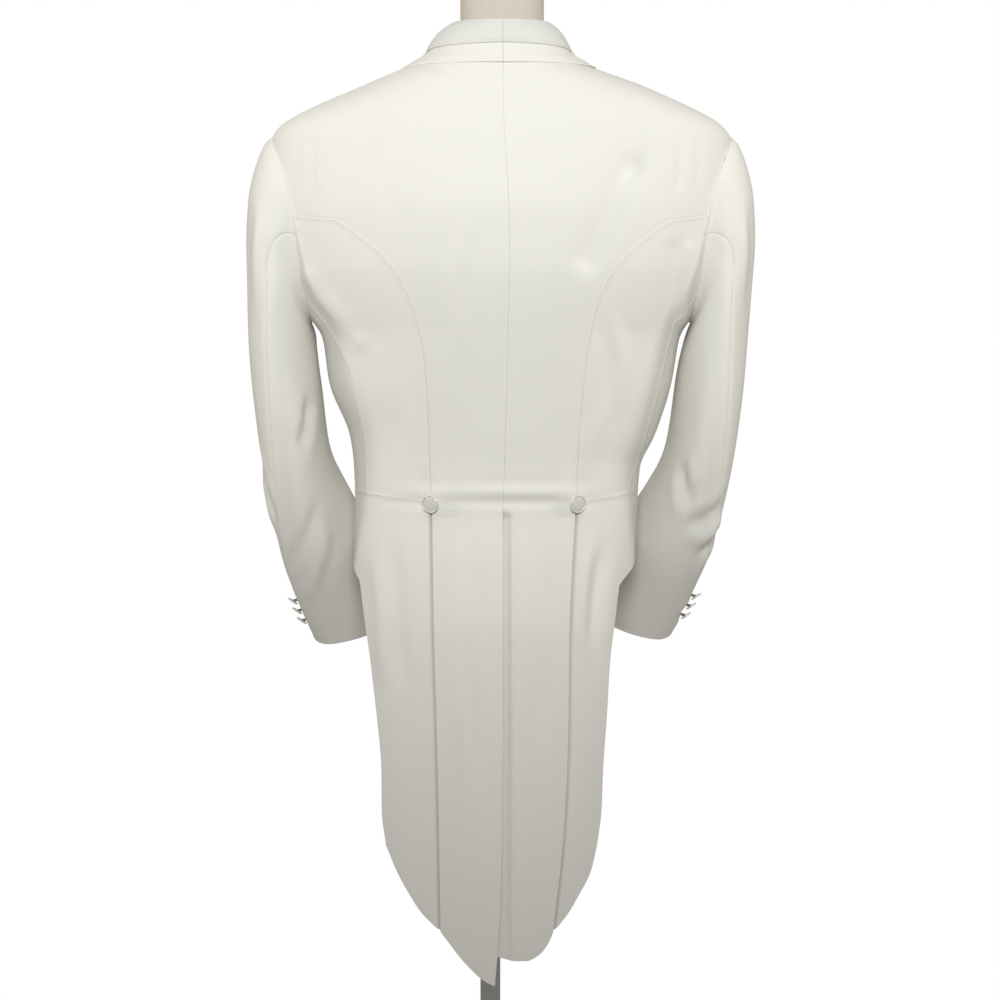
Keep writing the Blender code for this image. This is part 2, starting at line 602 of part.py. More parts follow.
def sleeve_piece(name, side, columns, start, end):
    """Part of the sleeve between two seams, each a place round it at each share down it."""

    def put(u, v, w):
        place = mix(start(v), end(v), u)
        step = (sleeve_point(v, place + 1.0, side) - sleeve_point(v, place - 1.0, side)).length / 2.0
        place += SLEEVE_SEAM / 2 / step * (1.0 - 2.0 * u)
        return sleeve_face(v, place, side, w * WALL)

    return slab(name, columns, SLEEVE_ROWS, put, "coat_cloth")


# ---- collar ----

def collar_station(station, side):
    """Places of the fold, the satin's edge and the border's edge at a station."""
    fold_angle, fold_z, satin_angle, satin_z, border_angle, border_z = along(COLLAR, station)
    front = [(z, angle) for angle, z in FRONT_EDGE]
    if station > COLLAR[3][0]:
        fold_angle = along(front, fold_z)[0]
        reach = body_skin(fold_angle, fold_z)
        fold_angle += math.degrees(FOLD_PAST_EDGE / math.hypot(reach.x, reach.y))
    start = math.degrees(SEAM / 2 / NECK_REACH) * (1.0 - smooth(station / NECK_SEAM_LENGTH))
    return [(side * (angle + start), z) for angle, z in
            ((fold_angle, fold_z), (satin_angle, satin_z), (border_angle, border_z))]


def shawl_piece(name, side):
    """Satin collar and lapel: the fall, the fold and the part that turns down behind it."""
    out = 2.0 * (WALL + LAY)

    def put(u, v, w):
        fold, satin, _ = collar_station(v, side)
        fall = 1.0 - 1.0 / SHAWL_COLUMNS
        share = min(1.0, u / fall)
        point = body_point(mix(satin[0], fold[0], share), mix(satin[1], fold[1], share), out + w * WALL)
        if u <= fall + 1e-6:
            return point
        top, foot = body_point(*fold, out), body_point(*satin, out)
        outward = (body_point(*fold, out + 0.01) - top).normalized()
        front = smooth((v - TURN_START) / TURN_LENGTH)
        down = Vector((0.0, 0.0, -1.0)).lerp(-outward, front).normalized()
        past = top - foot
        past = (past - down * past.dot(down)).normalized()
        drop = mix(STAND_DROP_BACK, STAND_DROP_FRONT + out, front)
        return top + down * drop + past * (w * WALL)

    return slab(name, SHAWL_COLUMNS, COLLAR_ROWS, put, "collar_satin")


def border_piece(name, side):
    """Cloth border that shows below the satin and runs up under it."""

    def put(u, v, w):
        fold, satin, border = collar_station(v, side)
        high = [mix(satin[axis], fold[axis], BORDER_TUCK) for axis in (0, 1)]
        return body_point(mix(border[0], high[0], u), mix(border[1], high[1], u), WALL + LAY + w * WALL)

    return slab(name, BORDER_COLUMNS, COLLAR_ROWS, put, "coat_cloth")


# ---- solids of the buttons, the form and the stand ----

def finished(name, bm, finish):
    mesh = bpy.data.meshes.new(name)
    bm.to_mesh(mesh)
    bm.free()
    mesh.shade_smooth()
    mesh.set_sharp_from_angle(angle=math.radians(35.0))
    mesh.materials.append(material(finish))
    part = bpy.data.objects.new(name, mesh)
    bpy.context.scene.collection.objects.link(part)
    return part


def material(name):
    found = bpy.data.materials.get(name)
    if found:
        return found
    made = bpy.data.materials.new(name)
    made.use_nodes = True
    red, green, blue, roughness, metallic = FINISHES[name]
    shader = made.node_tree.nodes["Principled BSDF"]
    shader.inputs["Base Color"].default_value = (red, green, blue, 1.0)
    shader.inputs["Roughness"].default_value = roughness
    shader.inputs["Metallic"].default_value = metallic
    return made


def cylinder(name, radius, start, end, sides, finish, edge=0.0):
    """A round bar from one point to another, its end edges rounded where edge is given."""
    axis = Vector(end) - Vector(start)
    bm = bmesh.new()
    bmesh.ops.create_cone(bm, cap_ends=True, segments=sides, radius1=radius, radius2=radius,
                          depth=axis.length)
    if edge:
        rims = [e for e in bm.edges if abs(e.verts[0].co.z - e.verts[1].co.z) < 1e-6]
        bmesh.ops.bevel(bm, geom=rims, offset=edge, segments=2, profile=0.5, affect="EDGES", material=-1)
    bmesh.ops.rotate(bm, verts=bm.verts, matrix=Vector((0, 0, 1)).rotation_difference(axis).to_matrix())
    bmesh.ops.translate(bm, verts=bm.verts, vec=(Vector(start) + Vector(end)) / 2)
    return finished(name, bm, finish)


def button(name, centre, face, seat, radius, thick, finish):
    """A disc that faces one way, and the shank that stands it off the cloth."""
    face = Vector(face).normalized()
    half = face * (thick / 2)
    disc = cylinder(name, radius, centre - half, centre + half, DISC_SIDES, finish, edge=thick * 0.3)
    to_seat = (seat - centre).normalized()
    shank = cylinder(name + "_shank", SHANK, centre, seat - to_seat * SEAM, SHANK_SIDES, finish)
    shank.hide_render = True
    shank.display_type = "WIRE"
    union = disc.modifiers.new("shank", "BOOLEAN")
    union.operation = "UNION"
    union.solver = "EXACT"
    union.object = shank
    return disc


def back_button(name, side):
    """Covered button on the back seam at the waist, turned a little to the side and down."""
    x = along(PRINCESS_SEAM, WAIST)[0 if side > 0 else 1]
    angle = angle_at(x, WAIST)
    seat = body_point(angle, WAIST, WALL)
    outward = (body_point(angle, WAIST, WALL + 0.01) - seat).normalized()
    face = (outward + Vector((side * 0.30, 0.0, -0.18))).normalized()
    centre = seat + outward * (BACK_BUTTON_STAND + BACK_BUTTON_THICK / 2)
    button(name, centre, face, seat, BACK_BUTTON, BACK_BUTTON_THICK, "covered_button")


def cuff_button(name, share, side):
    """Thin button by the back seam of the cuff, hanging on its thread."""
    seat = sleeve_face(share, CUFF_BUTTON_ROUND, side, WALL)
    outward = (sleeve_face(share, CUFF_BUTTON_ROUND, side, WALL + 0.01) - seat).normalized()
    face = Vector((CUFF_BUTTON_FACE[0] * side, CUFF_BUTTON_FACE[1], CUFF_BUTTON_FACE[2]))
    centre = seat + outward * CUFF_BUTTON_STAND
    button(name, centre, face, seat, CUFF_BUTTON, CUFF_BUTTON_THICK, "cuff_disc")


def form_ring(height, ease):
    """Ring of the form inside the coat, flat at the armholes."""
    ring = []
    for i in range(FORM_POINTS):
        point = body_skin(360.0 * i / FORM_POINTS, height)
        middle = along(BODY, height)[2]
        flat = Vector((point.x, point.y - middle, 0.0))
        flat *= 1.0 - ease / flat.length
        x = max(-FORM_WIDTH, min(FORM_WIDTH, flat.x))
        ring.append(Vector((x, middle + flat.y, height)))
    return ring


def neck_ring(height, wider):
    middle = Vector((FORM_NECK_MIDDLE[0], FORM_NECK_MIDDLE[1], height))
    turns = [2.0 * math.pi * i / FORM_POINTS for i in range(FORM_POINTS)]
    return [middle + Vector((math.sin(t) * (FORM_NECK + wider), math.cos(t) * (FORM_NECK_DEEP + wider), 0.0))
            for t in turns]


def loft(name, rings, finish):
    """A closed body drawn up through rings that have the same number of points."""
    bm = bmesh.new()
    bmesh.ops.create_circle(bm, cap_ends=True, segments=len(rings[0]), radius=1.0)
    bm.faces.ensure_lookup_table()
    face = bm.faces[0]
    for vert, place in zip(face.verts, rings[0]):
        vert.co = place
    for ring in rings[1:]:
        face = bmesh.ops.extrude_discrete_faces(bm, faces=[face])["faces"][0]
        for vert, place in zip(face.verts, ring):
            vert.co = place
    bmesh.ops.contextual_create(bm, geom=[e for e in bm.edges if e.is_boundary])
    bmesh.ops.recalc_face_normals(bm, faces=bm.faces)
    return finished(name, bm, finish)


def dress_form():
    """Torso with its neck, a cap on the neck, a pole and a round base."""
    rings = [form_ring(height, ease) for height, ease in FORM_EASE[::-1]]
    rings += [neck_ring(height, wider) for height, wider in FORM_NECK_ROWS]
    loft("form_torso", rings, "form_linen")
    cap_bottom = FORM_NECK_TOP + SEAM
    bottom = min(height for height, _ in FORM_EASE)
    cap = Vector((FORM_NECK_MIDDLE[0], FORM_NECK_MIDDLE[1], cap_bottom))
    cylinder("form_neck_cap", FORM_NECK + 0.001, cap, cap + Vector((0, 0, CAP_THICK)), ROUND_SIDES // 2,
             "neck_cap_wood", CAP_EDGE)
    cylinder("stand_pole", POLE_RADIUS, (POLE_X, 0, BASE_THICK + SEAM), (POLE_X, 0, bottom - SEAM),
             ROUND_SIDES // 2, "stand_steel")
    cylinder("stand_base", BASE_RADIUS, (0, 0, 0), (0, 0, BASE_THICK), ROUND_SIDES, "stand_steel", BASE_EDGE)


def coat_half(name, side):
    """Every piece of one half of the coat."""
    lines = seams(side)
    back_panel("back_" + name, side, lines)
    side_back_panel("side_back_" + name, lines)
    forepart_panel("forepart_" + name, side, lines)
    skirt_panel("skirt_" + name, side, lines)
    sleeve_piece("top_sleeve_" + name, side, TOP_SLEEVE_COLUMNS, lambda v: FORE_SEAM, hind_seam)
    sleeve_piece("under_sleeve_" + name, side, UNDER_SLEEVE_COLUMNS, hind_seam,
                 lambda v: FORE_SEAM + 360.0)
    shawl_piece("shawl_" + name, side)
    border_piece("border_" + name, side)
    back_button("back_button_" + name, side)
    for count, share in enumerate(CUFF_BUTTON_ROWS, start=1):
        cuff_button(f"cuff_button_{name}_{count}", share, side)


def main():
    for thing in list(bpy.data.objects):
        bpy.data.objects.remove(thing, do_unlink=True)
    for name, side in SIDES.items():
        coat_half(name, side)
    dress_form()


main()
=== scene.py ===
"""Open white tailcoat on a limbless dress form: its cloth, buttons, finishes and studio.

Run as a script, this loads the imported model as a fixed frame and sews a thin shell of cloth
over each of its cloth solids. Lengths are in metres, +Z is up, the coat's back is at +Y and
the wearer's left at +X. A place on the body is an angle round from centre back, in degrees
and positive to the wearer's left, and a height. A place on a sleeve is a share of the way
down it and an angle round from its crown.
"""
import math

import bmesh
import bpy
import numpy as np
from bpy.props import FloatProperty, FloatVectorProperty, PointerProperty
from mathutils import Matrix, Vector


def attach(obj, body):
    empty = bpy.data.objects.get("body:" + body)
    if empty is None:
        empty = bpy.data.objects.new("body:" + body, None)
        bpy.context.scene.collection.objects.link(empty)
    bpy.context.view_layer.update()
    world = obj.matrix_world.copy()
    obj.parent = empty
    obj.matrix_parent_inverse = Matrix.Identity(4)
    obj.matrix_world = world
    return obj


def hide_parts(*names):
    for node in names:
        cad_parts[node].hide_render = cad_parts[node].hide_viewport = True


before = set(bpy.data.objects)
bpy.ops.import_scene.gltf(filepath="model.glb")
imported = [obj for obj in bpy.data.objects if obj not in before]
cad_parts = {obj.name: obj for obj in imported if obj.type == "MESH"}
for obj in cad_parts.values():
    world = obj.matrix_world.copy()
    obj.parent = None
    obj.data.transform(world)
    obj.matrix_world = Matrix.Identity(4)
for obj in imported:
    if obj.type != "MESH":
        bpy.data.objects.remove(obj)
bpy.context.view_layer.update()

bl_info = {
    "name": "White Tailcoat on a Dress Form",
    "version": (1, 0, 0),
    "blender": (4, 5, 0),
    "location": "View3D > Sidebar > Tailcoat",
    "description": "Sews the cloth of an open white tailcoat over its dress form and lights it",
    "category": "Object",
}

# ---- cloth ----
WALL = 0.0016           # thickness of one layer
LAY = 0.0016            # air between a piece and the layer it lies on
PLEAT_TUCK = 0.012      # how far a tail skirt runs under the back panel
PLEAT_DEPTH = 0.0045    # how deep its tucked edge lies
PLEAT_ROLL = 0.0045     # width of its rolled fold
LAP_REACH = 0.020       # how far the right back runs past centre, under the left, at the vent
LAP_FOLD = -0.0135      # where the right back folds inwards beside the vent
LAP_TURN = 0.010        # width of that fold
LAP_DEPTH = 0.0050      # how deep it goes
LAP_TOP = 0.010         # height over which the fold sets in below the top of the vent
VENT_TOP = 0.981        # height of the top of the centre vent
WAIST = 0.987           # height of the two back waist buttons

# ---- rows of the panels, from the neck down ----
SHOULDER_CELLS = (8, 10, 13, 18, 28, 42, 48, 43)    # lengths of its rows, as shares
CENTRE_CELLS = (6, 7, 8, 9, 11, 13, 14, 14) + (18,) * 4 + (16, 24, 32) + (40,) * 7
ARMHOLE_ROWS = 4
SIDE_ROWS = 10
UNDERARM_ROWS = 9
FRONT_CELLS = (20,) * 10 + (25,) * 9 + (20, 18, 14, 12, 10, 8, 7, 6)
TAIL_ROWS = 11
ROW_STEPS = 60          # steps in which each row of a panel is measured

# ---- the body that the coat fits: rings from the collar's fold down to the tail hem ----
# height, half width left, half width right, middle y, depth to back, depth to front, squareness
BODY = (
    (1.5025, 0.0460, 0.0440, 0.004, 0.0505, 0.0490, 2.10),
    (1.4930, 0.0625, 0.0560, 0.004, 0.0580, 0.0540, 2.10),
    (1.4800, 0.0720, 0.0635, 0.004, 0.0650, 0.0600, 2.10),
    (1.4705, 0.0790, 0.0700, 0.004, 0.0700, 0.0640, 2.10),
    (1.4550, 0.1075, 0.1000, 0.003, 0.0800, 0.0690, 2.15),
    (1.4500, 0.1240, 0.1170, 0.001, 0.0860, 0.0730, 2.20),
    (1.4365, 0.1548, 0.1520, 0.000, 0.0930, 0.0780, 2.30),
    (1.4220, 0.1890, 0.1860, -0.002, 0.1010, 0.0840, 2.40),
    (1.4080, 0.2200, 0.2170, -0.003, 0.1070, 0.0900, 2.40),
    (1.3950, 0.2420, 0.2390, -0.003, 0.1110, 0.0950, 2.40),
    (1.3800, 0.2520, 0.2490, -0.003, 0.1150, 0.0990, 2.40),
    (1.3450, 0.2550, 0.2510, -0.002, 0.1220, 0.1080, 2.40),
    (1.2950, 0.2500, 0.2440, 0.000, 0.1270, 0.1180, 2.40),
    (1.2450, 0.2380, 0.2320, 0.000, 0.1260, 0.1240, 2.40),
    (1.2130, 0.2250, 0.2190, 0.000, 0.1220, 0.1260, 2.35),
    (1.1900, 0.2130, 0.2070, 0.000, 0.1180, 0.1260, 2.30),
    (1.1690, 0.1970, 0.1930, 0.000, 0.1140, 0.1250, 2.30),
    (1.1150, 0.1890, 0.1830, 0.000, 0.1040, 0.1180, 2.25),
    (1.0570, 0.1660, 0.1640, 0.000, 0.0950, 0.1090, 2.20),
    (1.0240, 0.1620, 0.1490, 0.000, 0.0910, 0.1050, 2.20),
    (0.9860, 0.1610, 0.1465, 0.000, 0.0900, 0.1030, 2.20),
    (0.9200, 0.1630, 0.1440, 0.000, 0.0980, 0.1050, 2.20),
    (0.8400, 0.1670, 0.1450, 0.000, 0.1060, 0.1070, 2.20),
    (0.6500, 0.1700, 0.1460, 0.000, 0.1060, 0.1060, 2.20),
    (0.4400, 0.1700, 0.1460, 0.000, 0.1020, 0.1020, 2.20),
)

# ---- largest folds of the back: start x, start height, end x, end height, half width, rise ----
FOLDS = (
    (-0.145, 1.395, -0.136, 1.345, 0.014, -0.0035),
    (-0.136, 1.345, -0.090, 1.248, 0.014, -0.0050),
    (-0.184, 1.258, -0.182, 1.186, 0.009, -0.0030),
    (-0.197, 1.258, -0.192, 1.186, 0.008, 0.0030),
    (0.206, 1.230, 0.155, 1.160, 0.010, 0.0030),
)

# ---- seams and edges of the back: height, x on the left half, x on the right half ----
CENTRE_SEAM = ((1.500, 0.000), (1.400, -0.001), (1.330, -0.005), (1.270, -0.007),
               (1.180, -0.005), (1.080, -0.003), (VENT_TOP, 0.000))
PRINCESS_SEAM = ((1.289, 0.178, -0.180), (1.277, 0.160, -0.162), (1.254, 0.131, -0.133),
                 (1.221, 0.1065, -0.109), (1.184, 0.0925, -0.0965), (1.150, 0.0845, -0.090),
                 (1.110, 0.081, -0.0855), (1.060, 0.079, -0.0815), (WAIST, 0.076, -0.078))
SIDE_SEAM = ((1.180, 0.1905, -0.184), (1.156, 0.1760, -0.1775), (1.130, 0.163, -0.171),
             (1.092, 0.155, -0.162), (1.044, 0.1475, -0.149), (0.996, 0.1465, -0.134))
PLEAT_LINE = ((WAIST, 0.0760, -0.0780), (0.840, 0.0735, -0.0708), (0.740, 0.0708, -0.0696),
              (0.640, 0.0690, -0.0650), (0.527, 0.0674, -0.0535))
VENT_EDGE = ((VENT_TOP, 0.0000), (0.780, 0.0000), (0.640, 0.0008), (0.540, 0.0035), (0.469, 0.0085))
SKIRT_EDGE = ((0.905, 0.1560, -0.1260), (0.864, 0.1500, -0.1207), (0.816, 0.1425, -0.1150),
              (0.760, 0.1350, -0.1115), (0.701, 0.1295, -0.1070), (0.655, 0.1290, -0.1050),
              (0.618, 0.1245, -0.1000))
SKIRT_HEM = ((0.527, 0.0674, -0.0535), (0.548, 0.0885, -0.0700), (0.566, 0.1000, -0.0805),
             (0.590, 0.1130, -0.0930), (0.618, 0.1245, -0.1000))
BACK_HEM_LEFT = ((0.0674, 0.527), (0.0590, 0.516), (0.0435, 0.4965), (0.0205, 0.475), (0.0085, 0.469))
BACK_HEM_RIGHT = ((-0.0535, 0.527), (-0.0470, 0.513), (-0.0380, 0.503), (-0.0250, 0.497),
                  (-0.0100, 0.497), (0.0050, 0.500), (LAP_REACH, 0.504))

# ---- seams and edges round the front: angle from centre back, height ----
NECKLINE = ((0.0, 1.489), (90.0, 1.486), (118.0, 1.478))
FRONT_EDGE = ((118.0, 1.478), (136.0, 1.446), (147.0, 1.393), (155.0, 1.303), (158.5, 1.204),
              (159.0, 1.105), (157.0, 1.026), (154.0, 0.952))
FRONT_WAIST = ((100.0, 0.998), (125.0, 0.988), (142.0, 0.968), (154.0, 0.952))
SKIRT_FRONT = ((127.0, 0.987), (113.0, 0.962), (99.0, 0.934))

# ---- armhole: an oval on the body surface, each side of the shoulder line ----
ARMHOLE_MIDDLE = 1.2840
ARMHOLE_RISE = 0.0995
ARMHOLE_SWEEP = 17.0      # degrees
PRINCESS_START = 84.0     # place of the curved back seam round the armhole, from its top
SIDE_START = 135.0        # place of the side seam round it

# ---- sleeves: rings from the armhole to the cuff ----
# height, x left, x right, y, half across, half deep, tip, lean, turn (the last three in degrees)
SLEEVE = (
    (1.2837, 0.2325, 0.2265, 0.002, 0.1015, 0.068, 79.0, 0.0, 0.0),
    (1.2713, 0.2395, 0.2355, 0.001, 0.0945, 0.071, 73.0, 0.0, 0.0),
    (1.2510, 0.2430, 0.2385, 0.000, 0.0830, 0.075, 67.0, 0.0, 0.0),
    (1.2223, 0.2435, 0.2378, -0.002, 0.0660, 0.079, 57.0, 0.0, 0.0),
    (1.1917, 0.2425, 0.2345, -0.004, 0.0512, 0.081, 45.0, 0.0, 0.0),
    (1.1546, 0.2408, 0.2305, -0.005, 0.0412, 0.081, 28.0, 0.0, 2.0),
    (1.0977, 0.2350, 0.2250, -0.006, 0.0361, 0.080, 10.0, 2.0, 5.0),
    (1.0408, 0.2278, 0.2165, -0.010, 0.0335, 0.075, 3.0, 8.0, 9.0),
    (0.9864, 0.2132, 0.1995, -0.022, 0.0325, 0.070, 0.0, 18.0, 20.0),
    (0.9345, 0.1963, 0.1795, -0.046, 0.0315, 0.066, 0.0, 27.0, 33.0),
    (0.8892, 0.1798, 0.1605, -0.076, 0.0305, 0.062, 0.0, 31.0, 42.0),
    (0.8456, 0.1652, 0.1435, -0.108, 0.0295, 0.058, 0.0, 33.0, 48.0),
)
RIGHT_CUFF_LIFT = 0.006   # the right cuff hangs this much higher
HIND_SEAM_TOP = 96.0      # back seam of the sleeve round its first ring, from the crown
HIND_SEAM = 73.0          # and round the rings below the sleevehead
FORE_SEAM = -75.0         # front seam of the sleeve, all the way down
ARMHOLE_GAP = 0.0019      # air between the sleeve's first ring and the body panels
SLEEVEHEAD = 0.20         # share of the sleeve over which it leaves the armhole's outline

# ---- two-tier shawl collar, from centre back (0) to the end of the lapel (1) ----
# station, angle and height of the fold, of the satin's edge, of the border's edge
COLLAR = (
    (0.00, 0.0, 1.5025, 0.0, 1.4770, 0.0, 1.4565),
    (0.15, 45.0, 1.5020, 45.0, 1.4750, 45.0, 1.4560),
    (0.30, 90.0, 1.5010, 90.0, 1.4710, 90.0, 1.4555),
    (0.42, 119.0, 1.4820, 108.0, 1.4500, 103.0, 1.4380),
    (0.55, 138.0, 1.4430, 119.0, 1.4020, 114.0, 1.3900),
    (0.70, 155.0, 1.3280, 132.0, 1.2990, 127.5, 1.2900),
    (0.85, 159.5, 1.1840, 142.0, 1.1650, 138.5, 1.1570),
    (1.00, 157.5, 1.0170, 152.5, 1.0110, 150.0, 1.0050),
)
FOLD_PAST_EDGE = 0.0032   # how far past the front edge the collar folds
BORDER_TUCK = 0.35        # share of the satin's width that the border runs up under it
STAND_DROP_BACK = 0.011   # how far the collar turns down inside the neck
STAND_DROP_FRONT = 0.000  # and behind the front edge

# ---- buttons ----
BACK_BUTTON = 0.0100      # radius
BACK_BUTTON_THICK = 0.0042
BACK_BUTTON_STAND = 0.0030
CUFF_BUTTON = 0.0065
CUFF_BUTTON_THICK = 0.0016
CUFF_BUTTON_STAND = 0.0062
CUFF_BUTTON_ROWS = (0.905, 0.932, 0.959)      # places down the sleeve
CUFF_BUTTON_FACE = (0.55, 0.0, -0.83)         # the discs hang on their thread, facing out and down
CUFF_BUTTON_ROUND = 66.0                      # place round the sleeve, in front of the back seam
SHANK = 0.0014            # radius of the thread under a button
STRAND = 0.55             # radius of one of its strands, as a share of that
STRANDS = 4

# ---- fine cloth ----
LEADS = (0.0004, 0.0010, 0.0018, 0.0030, 0.0045, 0.0065, 0.0090)    # first cells in from an edge
SHELL_GAP = 0.0001        # gap between shells that are sewn together
HEAD_SETTLE = 0.0027      # how far the sleeve head dips at its seam
HEAD_ROLL = 0.009         # and over what length
STITCH_INSET = 0.0065     # edge stitching, in from the edge
HIND_SEAM_SETTLE = 0.3    # share of the sleeve over which its back seam settles
NECK_REACH = 0.06         # radius of the neck at the collar's back seam
TURN_START = 0.30         # where the collar's turn begins to swing from down to back
TURN_LENGTH = 0.15
PUCKER_WAVES = (0.0031, 0.019, 0.0137)      # lengths of the ripples that run beside a seam
PUCKER_REACH = 0.009      # how far from the seam they die away
ALLOWANCE = 0.008         # width of the turned-in cloth that lifts a seam's two sides
ALLOWANCE_RISE = 0.00026
SEAM_DIP = 0.00022        # how deep a seam and a row of edge stitching sink
SEAM_WIDTH = 0.0016
STITCH_WIDTH = 0.0011
STITCH_LENGTH = 0.0032
SLEEVE_SAMPLES = 241      # places down a sleeve at which its length is measured
LINEN_ROWS = 0.0011       # spacing of the linen's threads, upright and round the form
LINEN_COLUMNS = 0.0013
EDGE_ROUND = 0.22         # thickness left at the very edge of a shell, as a share

# ---- creases: half width, rise, then the line ----
BACK_CREASES = (    # x and height of each point
    (0.0045, -0.0014, (0.092, 1.462), (0.050, 1.443), (0.000, 1.437), (-0.035, 1.446), (-0.062, 1.460)),
    (0.0060, -0.0016, (-0.187, 1.385), (-0.190, 1.350), (-0.186, 1.315)),
    (0.0050, -0.0014, (-0.203, 1.380), (-0.207, 1.350), (-0.205, 1.322)),
    (0.0060, 0.0014, (0.190, 1.385), (0.196, 1.345), (0.192, 1.310)),
    (0.0050, 0.0010, (0.207, 1.378), (0.211, 1.345), (0.209, 1.320)),
    (0.0070, -0.0016, (0.205, 1.205), (0.176, 1.176), (0.150, 1.140)),
    (0.0080, 0.0014, (-0.112, 1.200), (-0.128, 1.140), (-0.126, 1.080)),
    (0.0060, 0.0014, (0.142, 0.999), (0.070, 0.9995), (0.000, 1.000), (-0.070, 0.9995), (-0.132, 0.999)),
    (0.0045, -0.0010, (0.136, 0.988), (0.060, 0.989), (0.000, 0.990), (-0.060, 0.989), (-0.128, 0.988)),
    (0.0080, 0.0012, (0.078, 1.000), (0.086, 1.050), (0.100, 1.105)),
    (0.0080, 0.0012, (-0.080, 1.000), (-0.092, 1.050), (-0.110, 1.100)),
    (0.0090, 0.0012, (0.030, 1.330), (0.046, 1.230), (0.040, 1.120)),
    (0.0110, -0.0014, (0.120, 1.400), (0.134, 1.340), (0.118, 1.280)),
    (0.0080, -0.0026, (-0.109, 0.955), (-0.098, 0.890), (-0.092, 0.820)),
    (0.0070, 0.0020, (-0.094, 0.960), (-0.086, 0.880), (-0.084, 0.800)),
    (0.0090, -0.0022, (0.118, 0.960), (0.112, 0.880), (0.109, 0.780)),
    (0.0080, 0.0018, (0.138, 0.940), (0.130, 0.860), (0.124, 0.780)),
    (0.0080, 0.0016, (0.046, 0.960), (0.050, 0.840), (0.047, 0.700)),
    (0.0080, -0.0016, (0.022, 0.930), (0.027, 0.800), (0.024, 0.660)),
    (0.0080, -0.0016, (-0.050, 0.960), (-0.047, 0.840), (-0.040, 0.720)),
)
FRONT_CREASES = (   # the same on the wearer's left; the right has their mirror images
    (0.0080, -0.0020, (0.205, 1.330), (0.170, 1.270), (0.150, 1.190)),
    (0.0090, 0.0018, (0.188, 1.300), (0.150, 1.215), (0.142, 1.130)),
    (0.0090, -0.0018, (0.172, 1.180), (0.150, 1.120), (0.138, 1.060)),
    (0.0080, -0.0020, (0.150, 1.090), (0.125, 1.050), (0.100, 1.035)),
    (0.0080, 0.0016, (0.146, 1.060), (0.120, 1.025), (0.095, 1.010)),
    (0.0060, -0.0014, (0.200, 1.390), (0.190, 1.360), (0.188, 1.330)),
)
SLEEVE_CREASES = {  # place round the sleeve in degrees, share of the way down
    "left": (
        (0.0060, -0.0030, (30, 0.625), (48, 0.680), (72, 0.735)),
        (0.0060, 0.0022, (22, 0.660), (44, 0.715), (64, 0.765)),
        (0.0080, -0.0030, (146, 0.520), (136, 0.585), (116, 0.625)),
        (0.0080, 0.0024, (160, 0.740), (132, 0.815), (104, 0.895)),
        (0.0070, -0.0020, (150, 0.700), (120, 0.760), (92, 0.815)),
    ),
    "right": (
        (0.0060, -0.0030, (134, 0.742), (96, 0.726), (56, 0.702)),
        (0.0060, -0.0024, (98, 0.800), (76, 0.776), (54, 0.748)),
        (0.0060, 0.0022, (118, 0.776), (84, 0.754), (52, 0.728)),
        (0.0080, -0.0030, (150, 0.640), (134, 0.690), (112, 0.700)),
        (0.0070, -0.0022, (104, 0.955), (58, 0.930), (12, 0.905)),
    ),
    "both": (
        (0.0080, -0.0024, (-40, 0.560), (-74, 0.640), (-108, 0.700)),
        (0.0070, -0.0026, (-30, 0.660), (-72, 0.690), (-112, 0.745)),
        (0.0070, 0.0022, (-34, 0.610), (-72, 0.665), (-110, 0.722)),
        (0.0080, -0.0020, (-28, 0.730), (-66, 0.745), (-104, 0.790)),
        (0.0090, 0.0020, (60, 0.160), (52, 0.300), (46, 0.430)),
        (0.0090, -0.0018, (84, 0.140), (78, 0.260), (70, 0.380)),
        (0.0090, 0.0016, (-40, 0.180), (-36, 0.300), (-30, 0.440)),
    ),
}

# ---- cuts: width, length and area of the flat cloth of each shell ----
CUTS = {
    "back": (0.320, 1.120, 0.130), "side_back": (0.130, 0.330, 0.031),
    "forepart": (0.300, 0.650, 0.120), "skirt": (0.250, 0.470, 0.045),
    "top_sleeve": (0.270, 0.560, 0.091), "under_sleeve": (0.290, 0.460, 0.083),
    "border": (0.075, 0.680, 0.027), "shawl": (0.100, 0.660, 0.039),
}

SIDES = {"left": 1, "right": -1}

# ---- studio ----
CAMERA_LENS = 104.9
CAMERA_AIM = (0.0033, 0.0, 0.9868)
FLOOR_RADIUS = 1.75
LIGHTS = (      # name, place, aim, size, setting of its power, share of that, colour, spread in degrees
    ("key_light", (0.0, 2.75, 1.95), (0.0, 0.0, 1.34), 0.9, "key", 1.0, (0.95, 0.98, 1.0), 50.0),
    ("top_light", (0.0, 0.9, 2.9), (0.0, 0.0, 1.4), 1.2, "side", 1.8, (0.96, 0.98, 1.0), 90.0),
    ("left_side_light", (2.3, 0.5, 1.9), (0.15, 0.0, 1.28), 0.6, "side", 0.8, (1.0, 0.95, 0.86), 34.0),
    ("right_side_light", (-2.3, 0.5, 1.9), (-0.15, 0.0, 1.28), 0.6, "side", 0.8, (1.0, 0.95, 0.86), 34.0),
    ("front_light", (0.5, -2.6, 2.2), (0.0, 0.0, 1.15), 1.4, "front", 1.0, (1.0, 0.98, 0.95), 120.0),
)


# ---- measuring tools; every one of them takes arrays ----

def smooth(value):
    """0 below 0, 1 above 1 and an even S between them."""
    value = np.clip(value, 0.0, 1.0)
    return value * value * (3.0 - 2.0 * value)


def mix(a, b, share):
    """A value a share of the way from a to b."""
    return a + (b - a) * share


